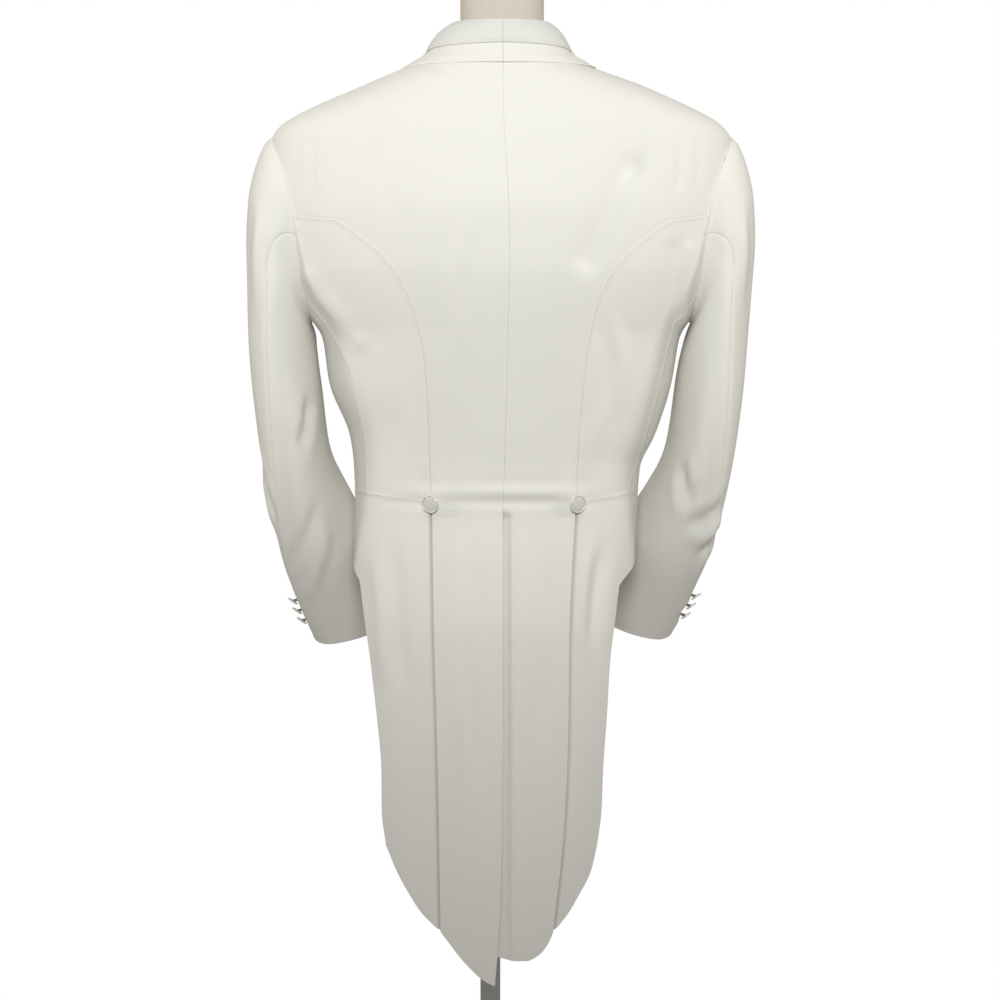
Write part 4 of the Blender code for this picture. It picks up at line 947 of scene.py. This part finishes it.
def satin_sections(stations, side):
    """The satin's fall, its rolled fold and the part that turns down behind it."""
    fold, satin, _ = collar_station(stations, side)
    out = 2.0 * (WALL + LAY) + WALL / 2.0
    share = np.linspace(0.0, 1.0, 41)[None, :, None]
    fall = mix(satin[:, None], fold[:, None], share)
    crown = 0.0012 * np.sin(np.pi * share[..., 0]) - 0.0018 * (1.0 - smooth(share[..., 0] / 0.16))
    fall = body_point(fall[..., 0], fall[..., 1], out + crown)
    top = body_point(fold[:, 0], fold[:, 1], out)
    foot = body_point(satin[:, 0], satin[:, 1], out)
    away = outward(fold[:, 0], fold[:, 1])
    front = smooth((stations - TURN_START) / TURN_LENGTH)[:, None]
    down = unit(mix(np.array([0.0, 0.0, -1.0]), -away, front))
    past = top - foot
    past = unit(past - down * (past * down).sum(axis=-1, keepdims=True))
    drop = mix(STAND_DROP_BACK, STAND_DROP_FRONT + 2.0 * (WALL + LAY), front)
    end = top + down * drop + past * (WALL / 2.0)
    start = fall[:, -4]
    control = top + past * 0.0006 + unit(top - start) * 0.0004
    t = np.linspace(0.0, 1.0, 25)[None, 1:, None]
    roll = (1 - t) ** 2 * start[:, None] + 2 * t * (1 - t) * control[:, None] + t**2 * end[:, None]
    return np.concatenate([fall[:, :-3], roll], axis=1)


def border_sections(stations, side):
    """The cloth border below the satin, from its edge up under it."""
    fold, satin, border = collar_station(stations, side)
    high = mix(satin, fold, BORDER_TUCK)
    share = np.linspace(0.0, 1.0, 25)[None, :, None]
    line = mix(border[:, None], high[:, None], share)
    droop = 0.0017 * (1.0 - smooth(share[..., 0] / 0.22))
    return body_point(line[..., 0], line[..., 1], WALL + LAY + WALL / 2.0 - droop)


# ---- buttons ----

def turned_piece(name, profile, centre, face, steps, finish, node=None):
    """A round piece spun from a profile of (radius, height), facing one way at its centre."""
    bm = bmesh.new()
    verts = [bm.verts.new((radius, 0.0, height)) for radius, height in profile]
    edges = [bm.edges.new(pair) for pair in zip(verts, verts[1:])]
    bmesh.ops.spin(bm, geom=verts + edges, cent=(0, 0, 0), axis=(0, 0, 1), angle=2.0 * math.pi,
                   steps=steps, use_merge=True)
    bmesh.ops.remove_doubles(bm, verts=bm.verts, dist=1e-7)
    bmesh.ops.recalc_face_normals(bm, faces=bm.faces)
    turn = Vector((0, 0, 1)).rotation_difference(Vector(face)).to_matrix()
    bmesh.ops.rotate(bm, verts=bm.verts, matrix=turn)
    bmesh.ops.translate(bm, verts=bm.verts, vec=centre)
    piece = finished(name, bm, finish, sharp=50.0)
    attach(piece, "root")
    if node:
        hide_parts(node)


def thread(name, start, end):
    """Strands of sewing thread side by side between two points."""
    axis = end - start
    radius = SHANK * STRAND
    bm = bmesh.new()
    for k in range(STRANDS):
        turn = 2.0 * math.pi * k / STRANDS
        made = bmesh.ops.create_cone(bm, cap_ends=True, segments=8, radius1=radius, radius2=radius,
                                     depth=axis.length)
        bmesh.ops.translate(bm, verts=made["verts"],
                            vec=(radius * math.cos(turn), radius * math.sin(turn), 0.0))
    turn = Vector((0, 0, 1)).rotation_difference(axis).to_matrix()
    bmesh.ops.rotate(bm, verts=bm.verts, matrix=turn)
    bmesh.ops.translate(bm, verts=bm.verts, vec=(start + end) / 2.0)
    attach(finished(name, bm, "sewing_thread"), "root")


def back_button(name, side):
    """Domed covered button with a ring set round its face."""
    x = along(PRINCESS_SEAM, WAIST)[0 if side > 0 else 1]
    angle = angle_at(x, WAIST)
    seat = Vector(body_point(angle, WAIST, WALL))
    away = Vector(outward(angle, WAIST))
    face = (away + Vector((side * 0.30, 0.0, -0.18))).normalized()
    centre = seat + away * (BACK_BUTTON_STAND + BACK_BUTTON_THICK / 2)
    r, t = BACK_BUTTON, BACK_BUTTON_THICK / 2
    dome = [(0.0, t * 1.02), (r * 0.30, t * 1.00), (r * 0.55, t * 0.90), (r * 0.72, t * 0.72),
            (r * 0.78, t * 0.52), (r * 0.80, t * 0.44)]
    ring = [(r * 0.82, t * 0.52), (r * 0.86, t * 0.76), (r * 0.91, t * 0.80), (r * 0.97, t * 0.58),
            (r, t * 0.10), (r * 0.98, -t * 0.45), (r * 0.90, -t * 0.85), (r * 0.70, -t), (0.0, -t)]
    turned_piece(name + "_cover", dome + ring, centre, face, 64, "covered_button", name)
    rim = [(r * 0.835, t * 0.60), (r * 0.86, t * 0.82), (r * 0.905, t * 0.88), (r * 0.955, t * 0.72),
           (r * 0.965, t * 0.52), (r * 0.90, t * 0.40), (r * 0.835, t * 0.60)]
    turned_piece(name + "_rim", rim, centre, face, 64, "button_rim")
    thread(name + "_thread", seat, centre - face * t)


def cuff_button(name, share, side):
    """Thin dished disc with a raised rim, hanging on its thread."""
    away = Vector(sleeve_outward(share, CUFF_BUTTON_ROUND, side))
    seat = Vector(sleeve_point(share, CUFF_BUTTON_ROUND, side)) + away * WALL
    face = Vector((CUFF_BUTTON_FACE[0] * side, CUFF_BUTTON_FACE[1], CUFF_BUTTON_FACE[2])).normalized()
    centre = seat + away * CUFF_BUTTON_STAND
    r, t = CUFF_BUTTON, CUFF_BUTTON_THICK / 2
    profile = [(0.0, t * 0.35), (r * 0.55, t * 0.40), (r * 0.72, t * 0.55), (r * 0.80, t * 0.95), (r * 0.90, t),
               (r * 0.97, t * 0.70), (r, 0.0), (r * 0.97, -t * 0.70), (r * 0.85, -t), (0.0, -t)]
    turned_piece(name + "_disc", profile, centre, face, 40, "cuff_disc", name)
    thread(name + "_thread", seat, centre)


# ---- finishes ----

def socket_group(name, inputs, outputs):
    """An empty shader node group with its sockets, and its input and output nodes."""
    group = bpy.data.node_groups.new(name, "ShaderNodeTree")
    for label, kind in inputs:
        group.interface.new_socket(name=label, in_out="INPUT", socket_type=kind)
    for label, kind in outputs:
        group.interface.new_socket(name=label, in_out="OUTPUT", socket_type=kind)
    return group, group.nodes.new("NodeGroupInput"), group.nodes.new("NodeGroupOutput")


def maths(tree, operation, *values, clamp=False):
    """A Math node fed with sockets or numbers; gives its output socket."""
    node = tree.nodes.new("ShaderNodeMath")
    node.operation, node.use_clamp = operation, clamp
    for socket, value in zip(node.inputs, values):
        if isinstance(value, (int, float)):
            socket.default_value = value
        else:
            tree.links.new(value, socket)
    return node.outputs[0]


def weighted(tree, start, *terms):
    """A start value plus each of some sockets times its weight; gives the output socket."""
    total = start
    for socket, weight in terms:
        total = maths(tree, "ADD", total, maths(tree, "MULTIPLY", socket, weight))
    return total


def weave_group():
    """Fine twill: threads over and under with a faint diagonal, from the cloth's own lengths."""
    group, start, end = socket_group(
        "Twill Weave", [("Length", "NodeSocketVector"), ("Pitch", "NodeSocketFloat")],
        [("Height", "NodeSocketFloat")])
    split = group.nodes.new("ShaderNodeSeparateXYZ")
    group.links.new(start.outputs["Length"], split.inputs[0])
    turns = maths(group, "DIVIDE", 2.0 * math.pi, start.outputs["Pitch"])
    u = maths(group, "MULTIPLY", split.outputs[0], turns)
    v = maths(group, "MULTIPLY", split.outputs[1], turns)
    threads = maths(group, "MULTIPLY", maths(group, "SINE", u), maths(group, "SINE", v))
    twill = maths(group, "SINE", weighted(group, 0.0, (u, 0.5), (v, 0.5)))
    group.links.new(weighted(group, 0.0, (threads, 0.5), (twill, 0.5)), end.inputs["Height"])
    return group


def stitch_group():
    """A row of stitches at a distance in from an edge: 1 on the thread, 0 beside it."""
    group, start, end = socket_group(
        "Stitch Row", [("Gap", "NodeSocketFloat"), ("Inset", "NodeSocketFloat"),
                       ("Place", "NodeSocketVector"), ("Stitch", "NodeSocketFloat")],
        [("Mask", "NodeSocketFloat")])
    away = maths(group, "ABSOLUTE", maths(group, "SUBTRACT", start.outputs["Gap"], start.outputs["Inset"]))
    line = maths(group, "SUBTRACT", 1.0, maths(group, "DIVIDE", away, 0.00045), clamp=True)
    split = group.nodes.new("ShaderNodeSeparateXYZ")
    group.links.new(start.outputs["Place"], split.inputs[0])
    run = maths(group, "ADD", split.outputs[2], maths(group, "MULTIPLY", split.outputs[0], 0.8))
    phase = maths(group, "FRACT", maths(group, "DIVIDE", run, start.outputs["Stitch"]))
    dash = maths(group, "LESS_THAN", phase, 0.74)
    group.links.new(maths(group, "MULTIPLY", line, dash), end.inputs["Mask"])
    return group


def mottle_group():
    """Slow uneven tone from noise, between about -1 and 1."""
    group, start, end = socket_group(
        "Slow Mottle", [("Place", "NodeSocketVector"), ("Scale", "NodeSocketFloat")],
        [("Tone", "NodeSocketFloat")])
    noise = group.nodes.new("ShaderNodeTexNoise")
    noise.inputs["Detail"].default_value = 4.0
    group.links.new(start.outputs["Place"], noise.inputs["Vector"])
    group.links.new(start.outputs["Scale"], noise.inputs["Scale"])
    tone = maths(group, "MULTIPLY", maths(group, "SUBTRACT", noise.outputs[0], 0.5), 2.0)
    group.links.new(tone, end.inputs["Tone"])
    return group


def placed(tree, group, **values):
    """A node group in a material, with its unlinked inputs set."""
    node = tree.nodes.new("ShaderNodeGroup")
    node.node_tree = group
    for label, value in values.items():
        node.inputs[label].default_value = value
    return node


def mottled(tree, groups, scale, stretch=(1.0, 1.0, 1.0)):
    """The slow mottle over the object's own coordinates, at a scale drawn out along an axis."""
    mapping = tree.nodes.new("ShaderNodeMapping")
    mapping.inputs["Scale"].default_value = stretch
    tree.links.new(tree.nodes.new("ShaderNodeTexCoord").outputs["Object"], mapping.inputs["Vector"])
    node = placed(tree, groups["mottle"], Scale=scale)
    tree.links.new(mapping.outputs[0], node.inputs["Place"])
    return node.outputs[0]


def toned(tree, shader, colour, *terms):
    """Set the shader's colour, lighter and darker by each of some sockets times its weight."""
    ramp = tree.nodes.new("ShaderNodeMapRange")
    ramp.inputs["To Min"].default_value, ramp.inputs["To Max"].default_value = 0.5, 1.5
    tree.links.new(weighted(tree, 0.5, *terms), ramp.inputs["Value"])
    scale = tree.nodes.new("ShaderNodeVectorMath")
    scale.operation = "SCALE"
    scale.inputs[0].default_value = tuple(colour)
    tree.links.new(ramp.outputs[0], scale.inputs["Scale"])
    tree.links.new(scale.outputs[0], shader.inputs["Base Color"])


def bare_material(name, roughness, **sockets):
    """A material with a Principled shader and the given sockets set on it."""
    made = bpy.data.materials.new(name)
    made.use_nodes = True
    shader = made.node_tree.nodes["Principled BSDF"]
    shader.inputs["Roughness"].default_value = roughness
    for label, value in sockets.items():
        shader.inputs[label.replace("_", " ")].default_value = value
    return made, made.node_tree, shader


def bumped(tree, shader, height, distance, before=None):
    """Give the shader a bump from a height, on top of an earlier one; gives its normal."""
    bump = tree.nodes.new("ShaderNodeBump")
    bump.inputs["Distance"].default_value = distance
    bump.inputs["Strength"].default_value = 1.0
    tree.links.new(height, bump.inputs["Height"])
    if before:
        tree.links.new(before, bump.inputs["Normal"])
    tree.links.new(bump.outputs[0], shader.inputs["Normal"])
    return bump.outputs[0]


def cloth_material(name, colour, roughness, pitch, bump, groups, **sockets):
    """Woven cloth: weave, slow uneven tone, painted shade along the seams and edge stitching."""
    _, tree, shader = bare_material(name, roughness, **sockets)
    uv = tree.nodes.new("ShaderNodeUVMap")
    uv.uv_map = "weave"
    weave = placed(tree, groups["weave"], Pitch=pitch)
    tree.links.new(uv.outputs[0], weave.inputs["Length"])
    slow, quick = mottled(tree, groups, 9.0), mottled(tree, groups, 420.0)
    seam, stitch = tree.nodes.new("ShaderNodeAttribute"), tree.nodes.new("ShaderNodeAttribute")
    seam.attribute_name, stitch.attribute_name = "seam_gap", "stitch_gap"
    row = placed(tree, groups["stitch"], Inset=STITCH_INSET, Stitch=STITCH_LENGTH)
    tree.links.new(stitch.outputs["Fac"], row.inputs["Gap"])
    tree.links.new(tree.nodes.new("ShaderNodeTexCoord").outputs["Object"], row.inputs["Place"])
    # Painted shade: the colour darkens by up to a tenth within a seam's width of each seam, for the shade in
    # the seam's ditch.
    past = maths(tree, "DIVIDE", seam.outputs["Fac"], SEAM_WIDTH)
    seam_painted_shade = maths(tree, "SUBTRACT", 1.0, past, clamp=True)
    threads, stitches = weave.outputs[0], row.outputs[0]
    toned(tree, shader, colour, (slow, 0.02), (threads, 0.010), (quick, 0.012), (seam_painted_shade, -0.10),
          (stitches, -0.07))
    woven = bumped(tree, shader, threads, bump)
    bumped(tree, shader, weighted(tree, 0.0, (quick, 0.5), (stitches, 2.0)), bump * 1.6, woven)
    tree.links.new(weighted(tree, roughness, (slow, 0.06)), shader.inputs["Roughness"])


def linen_material(name, colour, groups):
    """Open linen with slubs and darker flecks."""
    _, tree, shader = bare_material(name, 0.85, Specular_IOR_Level=0.25)
    slub = mottled(tree, groups, 300.0, (1.0, 1.0, 0.22))
    fleck = maths(tree, "SUBTRACT", mottled(tree, groups, 170.0), 0.22, clamp=True)
    spots = maths(tree, "MULTIPLY", fleck, 3.0, clamp=True)
    split = tree.nodes.new("ShaderNodeSeparateXYZ")
    tree.links.new(tree.nodes.new("ShaderNodeTexCoord").outputs["Object"], split.inputs[0])
    x, y, z = split.outputs
    rows = maths(tree, "SINE", maths(tree, "MULTIPLY", z, 2.0 * math.pi / LINEN_ROWS))
    round_it = maths(tree, "MULTIPLY", maths(tree, "ADD", x, y), 2.0 * math.pi / LINEN_COLUMNS)
    cross = maths(tree, "MULTIPLY", rows, maths(tree, "SINE", round_it))
    toned(tree, shader, colour, (slub, 0.16), (cross, 0.05), (spots, -0.16))
    bumped(tree, shader, maths(tree, "ADD", cross, slub), 0.00022)


def steel_material(name, colour, groups):
    """Satin steel with fine turning marks and a few softer patches."""
    _, tree, shader = bare_material(name, 0.32, Metallic=1.0)
    patches = mottled(tree, groups, 14.0)
    toned(tree, shader, colour, (patches, 0.05))
    tree.links.new(weighted(tree, 0.32, (patches, 0.12)), shader.inputs["Roughness"])
    bumped(tree, shader, mottled(tree, groups, 900.0, (1.0, 1.0, 0.02)), 0.00004)


def grained_material(name, colour, groups, roughness, scale, depth, tone=0.06, stretch=(1.0, 1.0, 1.0),
                     **sockets):
    """A plain finish with one grain, in its tone and as a fine bump."""
    _, tree, shader = bare_material(name, roughness, **sockets)
    grain = mottled(tree, groups, scale, stretch)
    toned(tree, shader, colour, (grain, tone))
    bumped(tree, shader, grain, depth)


def make_finishes(colours):
    """Every material of the object, from the chosen colours."""
    groups = {"weave": weave_group(), "stitch": stitch_group(), "mottle": mottle_group()}
    cloth_material("coat_cloth", colours.coat, 0.56, 0.00075, 0.00006, groups,
                   Sheen_Weight=0.18, Sheen_Roughness=0.45, Specular_IOR_Level=0.40)
    cloth_material("collar_satin", colours.satin, 0.34, 0.00050, 0.00003, groups,
                   Sheen_Weight=0.12, Sheen_Roughness=0.30, Specular_IOR_Level=0.55, Anisotropic=0.4)
    linen_material("form_linen", colours.linen, groups)
    steel_material("stand_steel", colours.steel, groups)
    grained_material("neck_cap_wood", colours.wood, groups, 0.35, 260.0, 0.00008, tone=0.385,
                     stretch=(1.0, 0.07, 1.0), Coat_Weight=0.25, Coat_Roughness=0.2)
    grained_material("covered_button", colours.button, groups, 0.38, 700.0, 0.00005)
    metal = {"Metallic": 0.35, "Coat_Weight": 0.4}
    grained_material("button_rim", colours.rim, groups, 0.22, 500.0, 0.00002, **metal)
    grained_material("cuff_disc", colours.disc, groups, 0.20, 400.0, 0.00002, **metal)
    grained_material("sewing_thread", colours.thread, groups, 0.70, 1500.0, 0.00010)


# ---- settings ----

class TAILCOAT_PG_cloth(bpy.types.PropertyGroup):
    """Sizes of the cloth shells."""

    thickness: FloatProperty(name="Thickness", description="Thickness of one layer of cloth",
                             default=0.0012, min=0.0004, max=0.0015, precision=4, unit="LENGTH")
    cell: FloatProperty(name="Cell", description="Size of the cells that a cloth shell is made of",
                        default=0.0034, min=0.002, max=0.02, precision=4,
                        unit="LENGTH")
    crease: FloatProperty(name="Crease depth", description="Depth of the creases against their usual depth",
                          default=1.0, min=0.0, max=1.5, subtype="FACTOR")
    pucker: FloatProperty(name="Pucker", description="Height of the small ripples beside the seams",
                          default=0.00016, min=0.0, max=0.001, precision=5, unit="LENGTH")


class TAILCOAT_PG_colours(bpy.types.PropertyGroup):
    """Colours of the finishes."""

    coat: FloatVectorProperty(name="Coat cloth", description="Colour of the coat's twill",
                              default=(0.87, 0.845, 0.765), min=0.0, max=1.0, subtype="COLOR")
    satin: FloatVectorProperty(name="Collar satin", description="Colour of the collar and lapels",
                               default=(0.80, 0.785, 0.715), min=0.0, max=1.0, subtype="COLOR")
    button: FloatVectorProperty(name="Covered button", description="Colour of the waist buttons' faces",
                                default=(0.50, 0.50, 0.49), min=0.0, max=1.0, subtype="COLOR")
    rim: FloatVectorProperty(name="Button rim", description="Colour of the ring round the waist buttons",
                             default=(0.86, 0.86, 0.84), min=0.0, max=1.0, subtype="COLOR")
    disc: FloatVectorProperty(name="Cuff disc", description="Colour of the cuff buttons",
                              default=(0.82, 0.82, 0.80), min=0.0, max=1.0, subtype="COLOR")
    thread: FloatVectorProperty(name="Thread", description="Colour of the thread under the buttons",
                                default=(0.30, 0.26, 0.21), min=0.0, max=1.0, subtype="COLOR")
    linen: FloatVectorProperty(name="Form linen", description="Colour of the dress form's cover",
                               default=(0.86, 0.77, 0.66), min=0.0, max=1.0, subtype="COLOR")
    steel: FloatVectorProperty(name="Steel", description="Colour of the stand",
                               default=(0.58, 0.58, 0.57), min=0.0, max=1.0, subtype="COLOR")
    wood: FloatVectorProperty(name="Neck cap", description="Colour of the wooden cap on the neck",
                              default=(0.40, 0.25, 0.13), min=0.0, max=1.0, subtype="COLOR")
    floor: FloatVectorProperty(name="Floor", description="Colour of the studio floor",
                               default=(0.88, 0.88, 0.87), min=0.0, max=1.0, subtype="COLOR")


class TAILCOAT_PG_studio(bpy.types.PropertyGroup):
    """Lights and camera."""

    key: FloatProperty(name="Key light", description="Power of the soft light that faces the coat's back",
                       default=3.7, min=0.0, max=500.0, unit="POWER")
    side: FloatProperty(name="Side lights", description="Power of each of the two side lights",
                        default=0.9, min=0.0, max=500.0, unit="POWER")
    front: FloatProperty(name="Front light", description="Power of the light before the coat's open front",
                         default=6.0, min=0.0, max=500.0, unit="POWER")
    fill: FloatProperty(name="Fill", description="Brightness of the studio's soft fill",
                        default=0.26, min=0.0, max=2.0)
    distance: FloatProperty(name="Camera distance", description="Distance of the camera from the form's middle",
                            default=3.2, min=1.0, max=10.0, unit="LENGTH")
    height: FloatProperty(name="Camera height", description="Height of the camera above the floor",
                          default=1.15, min=0.2, max=3.0, unit="LENGTH")


# ---- operators ----

class TAILCOAT_OT_finishes(bpy.types.Operator):
    """Make the materials and put them on the dress form and its stand"""

    bl_idname = "tailcoat.finishes"
    bl_label = "Make Finishes"

    def execute(self, context):
        make_finishes(context.scene.tailcoat_colours)
        for node, finish in (("form_torso", "form_linen"), ("form_neck_cap", "neck_cap_wood"),
                             ("stand_pole", "stand_steel"), ("stand_base", "stand_steel")):
            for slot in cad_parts[node].material_slots:
                slot.material = bpy.data.materials[finish]
        return {"FINISHED"}


class TAILCOAT_OT_backs(bpy.types.Operator):
    """Sew the two long back panels and the two side backs"""

    bl_idname = "tailcoat.backs"
    bl_label = "Sew Backs"

    def execute(self, context):
        for name, side in SIDES.items():
            back_panel("back_" + name, side)
            side_back_panel("side_back_" + name, side)
        return {"FINISHED"}


class TAILCOAT_OT_foreparts(bpy.types.Operator):
    """Sew the two foreparts"""

    bl_idname = "tailcoat.foreparts"
    bl_label = "Sew Foreparts"

    def execute(self, context):
        for name, side in SIDES.items():
            forepart_panel("forepart_" + name, side)
        return {"FINISHED"}


class TAILCOAT_OT_skirts(bpy.types.Operator):
    """Sew the two tail skirts"""

    bl_idname = "tailcoat.skirts"
    bl_label = "Sew Tail Skirts"

    def execute(self, context):
        for name, side in SIDES.items():
            skirt_panel("skirt_" + name, side)
        return {"FINISHED"}


class TAILCOAT_OT_sleeves(bpy.types.Operator):
    """Sew the top and under halves of both sleeves"""

    bl_idname = "tailcoat.sleeves"
    bl_label = "Sew Sleeves"

    def execute(self, context):
        for name, side in SIDES.items():
            sleeve_piece("top_sleeve_" + name, side, fore_seam, hind_seam)
            sleeve_piece("under_sleeve_" + name, side, hind_seam, fore_seam_behind)
        return {"FINISHED"}


class TAILCOAT_OT_collar(bpy.types.Operator):
    """Sew the cloth border and the satin shawl collar over it"""

    bl_idname = "tailcoat.collar"
    bl_label = "Sew Collar"

    def execute(self, context):
        for name, side in SIDES.items():
            collar_piece("border_" + name, side, border_sections, "coat_cloth")
            collar_piece("shawl_" + name, side, satin_sections, "collar_satin")
        return {"FINISHED"}


class TAILCOAT_OT_buttons(bpy.types.Operator):
    """Sew on the two covered waist buttons and the three discs of each cuff"""

    bl_idname = "tailcoat.buttons"
    bl_label = "Sew On Buttons"

    def execute(self, context):
        for name, side in SIDES.items():
            back_button("back_button_" + name, side)
            for count, share in enumerate(CUFF_BUTTON_ROWS, start=1):
                cuff_button(f"cuff_button_{name}_{count}", share, side)
        return {"FINISHED"}


class TAILCOAT_OT_stage(bpy.types.Operator):
    """Lay the pale floor and set up the soft lights and the camera"""

    bl_idname = "tailcoat.stage"
    bl_label = "Set the Stage"

    def execute(self, context):
        studio = context.scene.tailcoat_studio
        lay_floor(context.scene.tailcoat_colours.floor)
        soft_surround(studio.fill)
        for name, place, aim, size, setting, share, colour, spread in LIGHTS:
            area_light(name, place, aim, size, getattr(studio, setting) * share, colour, spread)
        camera = bpy.data.cameras.new("studio_camera")
        camera.sensor_width = 36.0
        camera.lens = CAMERA_LENS
        place = bpy.data.objects.new("studio_camera", camera)
        place.location = (0.0, studio.distance, studio.height)
        aim = Vector(CAMERA_AIM) - place.location
        place.rotation_euler = aim.to_track_quat("-Z", "Y").to_euler()
        context.scene.collection.objects.link(place)
        context.scene.camera = place
        context.scene.view_settings.view_transform = "Standard"
        return {"FINISHED"}


def lay_floor(colour):
    """A round pale floor whose rim thins out to nothing."""
    bm = bmesh.new()
    bmesh.ops.create_circle(bm, cap_ends=True, segments=128, radius=FLOOR_RADIUS)
    mesh = bpy.data.meshes.new("studio_floor")
    bm.to_mesh(mesh)
    bm.free()
    made, tree, shader = bare_material("studio_floor", 0.7, Specular_IOR_Level=0.2)
    shader.inputs["Base Color"].default_value = tuple(colour) + (1.0,)
    coordinates = tree.nodes.new("ShaderNodeTexCoord")
    reach = tree.nodes.new("ShaderNodeVectorMath")
    reach.operation = "LENGTH"
    tree.links.new(coordinates.outputs["Object"], reach.inputs[0])
    fade = tree.nodes.new("ShaderNodeMapRange")
    fade.interpolation_type = "SMOOTHSTEP"
    fade.inputs["From Min"].default_value = FLOOR_RADIUS * 0.45
    fade.inputs["From Max"].default_value = FLOOR_RADIUS * 0.98
    fade.inputs["To Min"].default_value, fade.inputs["To Max"].default_value = 1.0, 0.0
    tree.links.new(reach.outputs["Value"], fade.inputs["Value"])
    tree.links.new(fade.outputs[0], shader.inputs["Alpha"])
    mesh.materials.append(made)
    floor = bpy.data.objects.new("studio_floor", mesh)
    bpy.context.scene.collection.objects.link(floor)


def soft_surround(fill):
    """White all round, dimmer as light than as the backdrop that is seen."""
    world = bpy.data.worlds.new("studio_surround")
    bpy.context.scene.world = world
    world.use_nodes = True
    tree = world.node_tree
    tree.nodes.clear()
    seen, lit = tree.nodes.new("ShaderNodeBackground"), tree.nodes.new("ShaderNodeBackground")
    seen.inputs["Color"].default_value = (1.0, 1.0, 1.0, 1.0)
    seen.inputs["Strength"].default_value = 1.0
    lit.inputs["Color"].default_value = (1.0, 0.965, 0.90, 1.0)
    lit.inputs["Strength"].default_value = fill
    path = tree.nodes.new("ShaderNodeLightPath")
    choose = tree.nodes.new("ShaderNodeMixShader")
    tree.links.new(path.outputs["Is Camera Ray"], choose.inputs[0])
    tree.links.new(lit.outputs[0], choose.inputs[1])
    tree.links.new(seen.outputs[0], choose.inputs[2])
    end = tree.nodes.new("ShaderNodeOutputWorld")
    tree.links.new(choose.outputs[0], end.inputs["Surface"])


def area_light(name, place, aim, size, power, colour, spread):
    """A round soft light, its beam narrowed to a spread in degrees."""
    light = bpy.data.lights.new(name, "AREA")
    light.spread = math.radians(spread)
    light.shape, light.size = "DISK", size
    light.energy, light.color = power, colour
    lamp = bpy.data.objects.new(name, light)
    lamp.location = place
    lamp.rotation_euler = (Vector(aim) - Vector(place)).to_track_quat("-Z", "Y").to_euler()
    bpy.context.scene.collection.objects.link(lamp)


class TAILCOAT_PT_panel(bpy.types.Panel):
    """Sizes, colours and steps of the tailcoat"""

    bl_label = "Tailcoat"
    bl_idname = "TAILCOAT_PT_panel"
    bl_space_type = "VIEW_3D"
    bl_region_type = "UI"
    bl_category = "Tailcoat"

    def draw(self, context):
        for label, group in GROUPS.items():
            box = self.layout.box()
            for name in group.__annotations__:
                box.prop(getattr(context.scene, label), name)
        for operator in OPERATORS:
            self.layout.operator(operator.bl_idname)


GROUPS = {"tailcoat_cloth": TAILCOAT_PG_cloth, "tailcoat_colours": TAILCOAT_PG_colours,
          "tailcoat_studio": TAILCOAT_PG_studio}
OPERATORS = (TAILCOAT_OT_finishes, TAILCOAT_OT_backs, TAILCOAT_OT_foreparts, TAILCOAT_OT_skirts,
             TAILCOAT_OT_sleeves, TAILCOAT_OT_collar, TAILCOAT_OT_buttons, TAILCOAT_OT_stage)


def register():
    for group in GROUPS.values():
        bpy.utils.register_class(group)
    for name, group in GROUPS.items():
        setattr(bpy.types.Scene, name, PointerProperty(type=group))
    for made in OPERATORS + (TAILCOAT_PT_panel,):
        bpy.utils.register_class(made)


def unregister():
    for made in (TAILCOAT_PT_panel,) + OPERATORS[::-1]:
        bpy.utils.unregister_class(made)
    for name in GROUPS:
        delattr(bpy.types.Scene, name)
    for group in GROUPS.values():
        bpy.utils.unregister_class(group)


def main():
    """Run every step in order."""
    register()
    for operator in OPERATORS:
        family, step = operator.bl_idname.split(".")
        getattr(getattr(bpy.ops, family), step)()


if __name__ == "__main__":
    main()
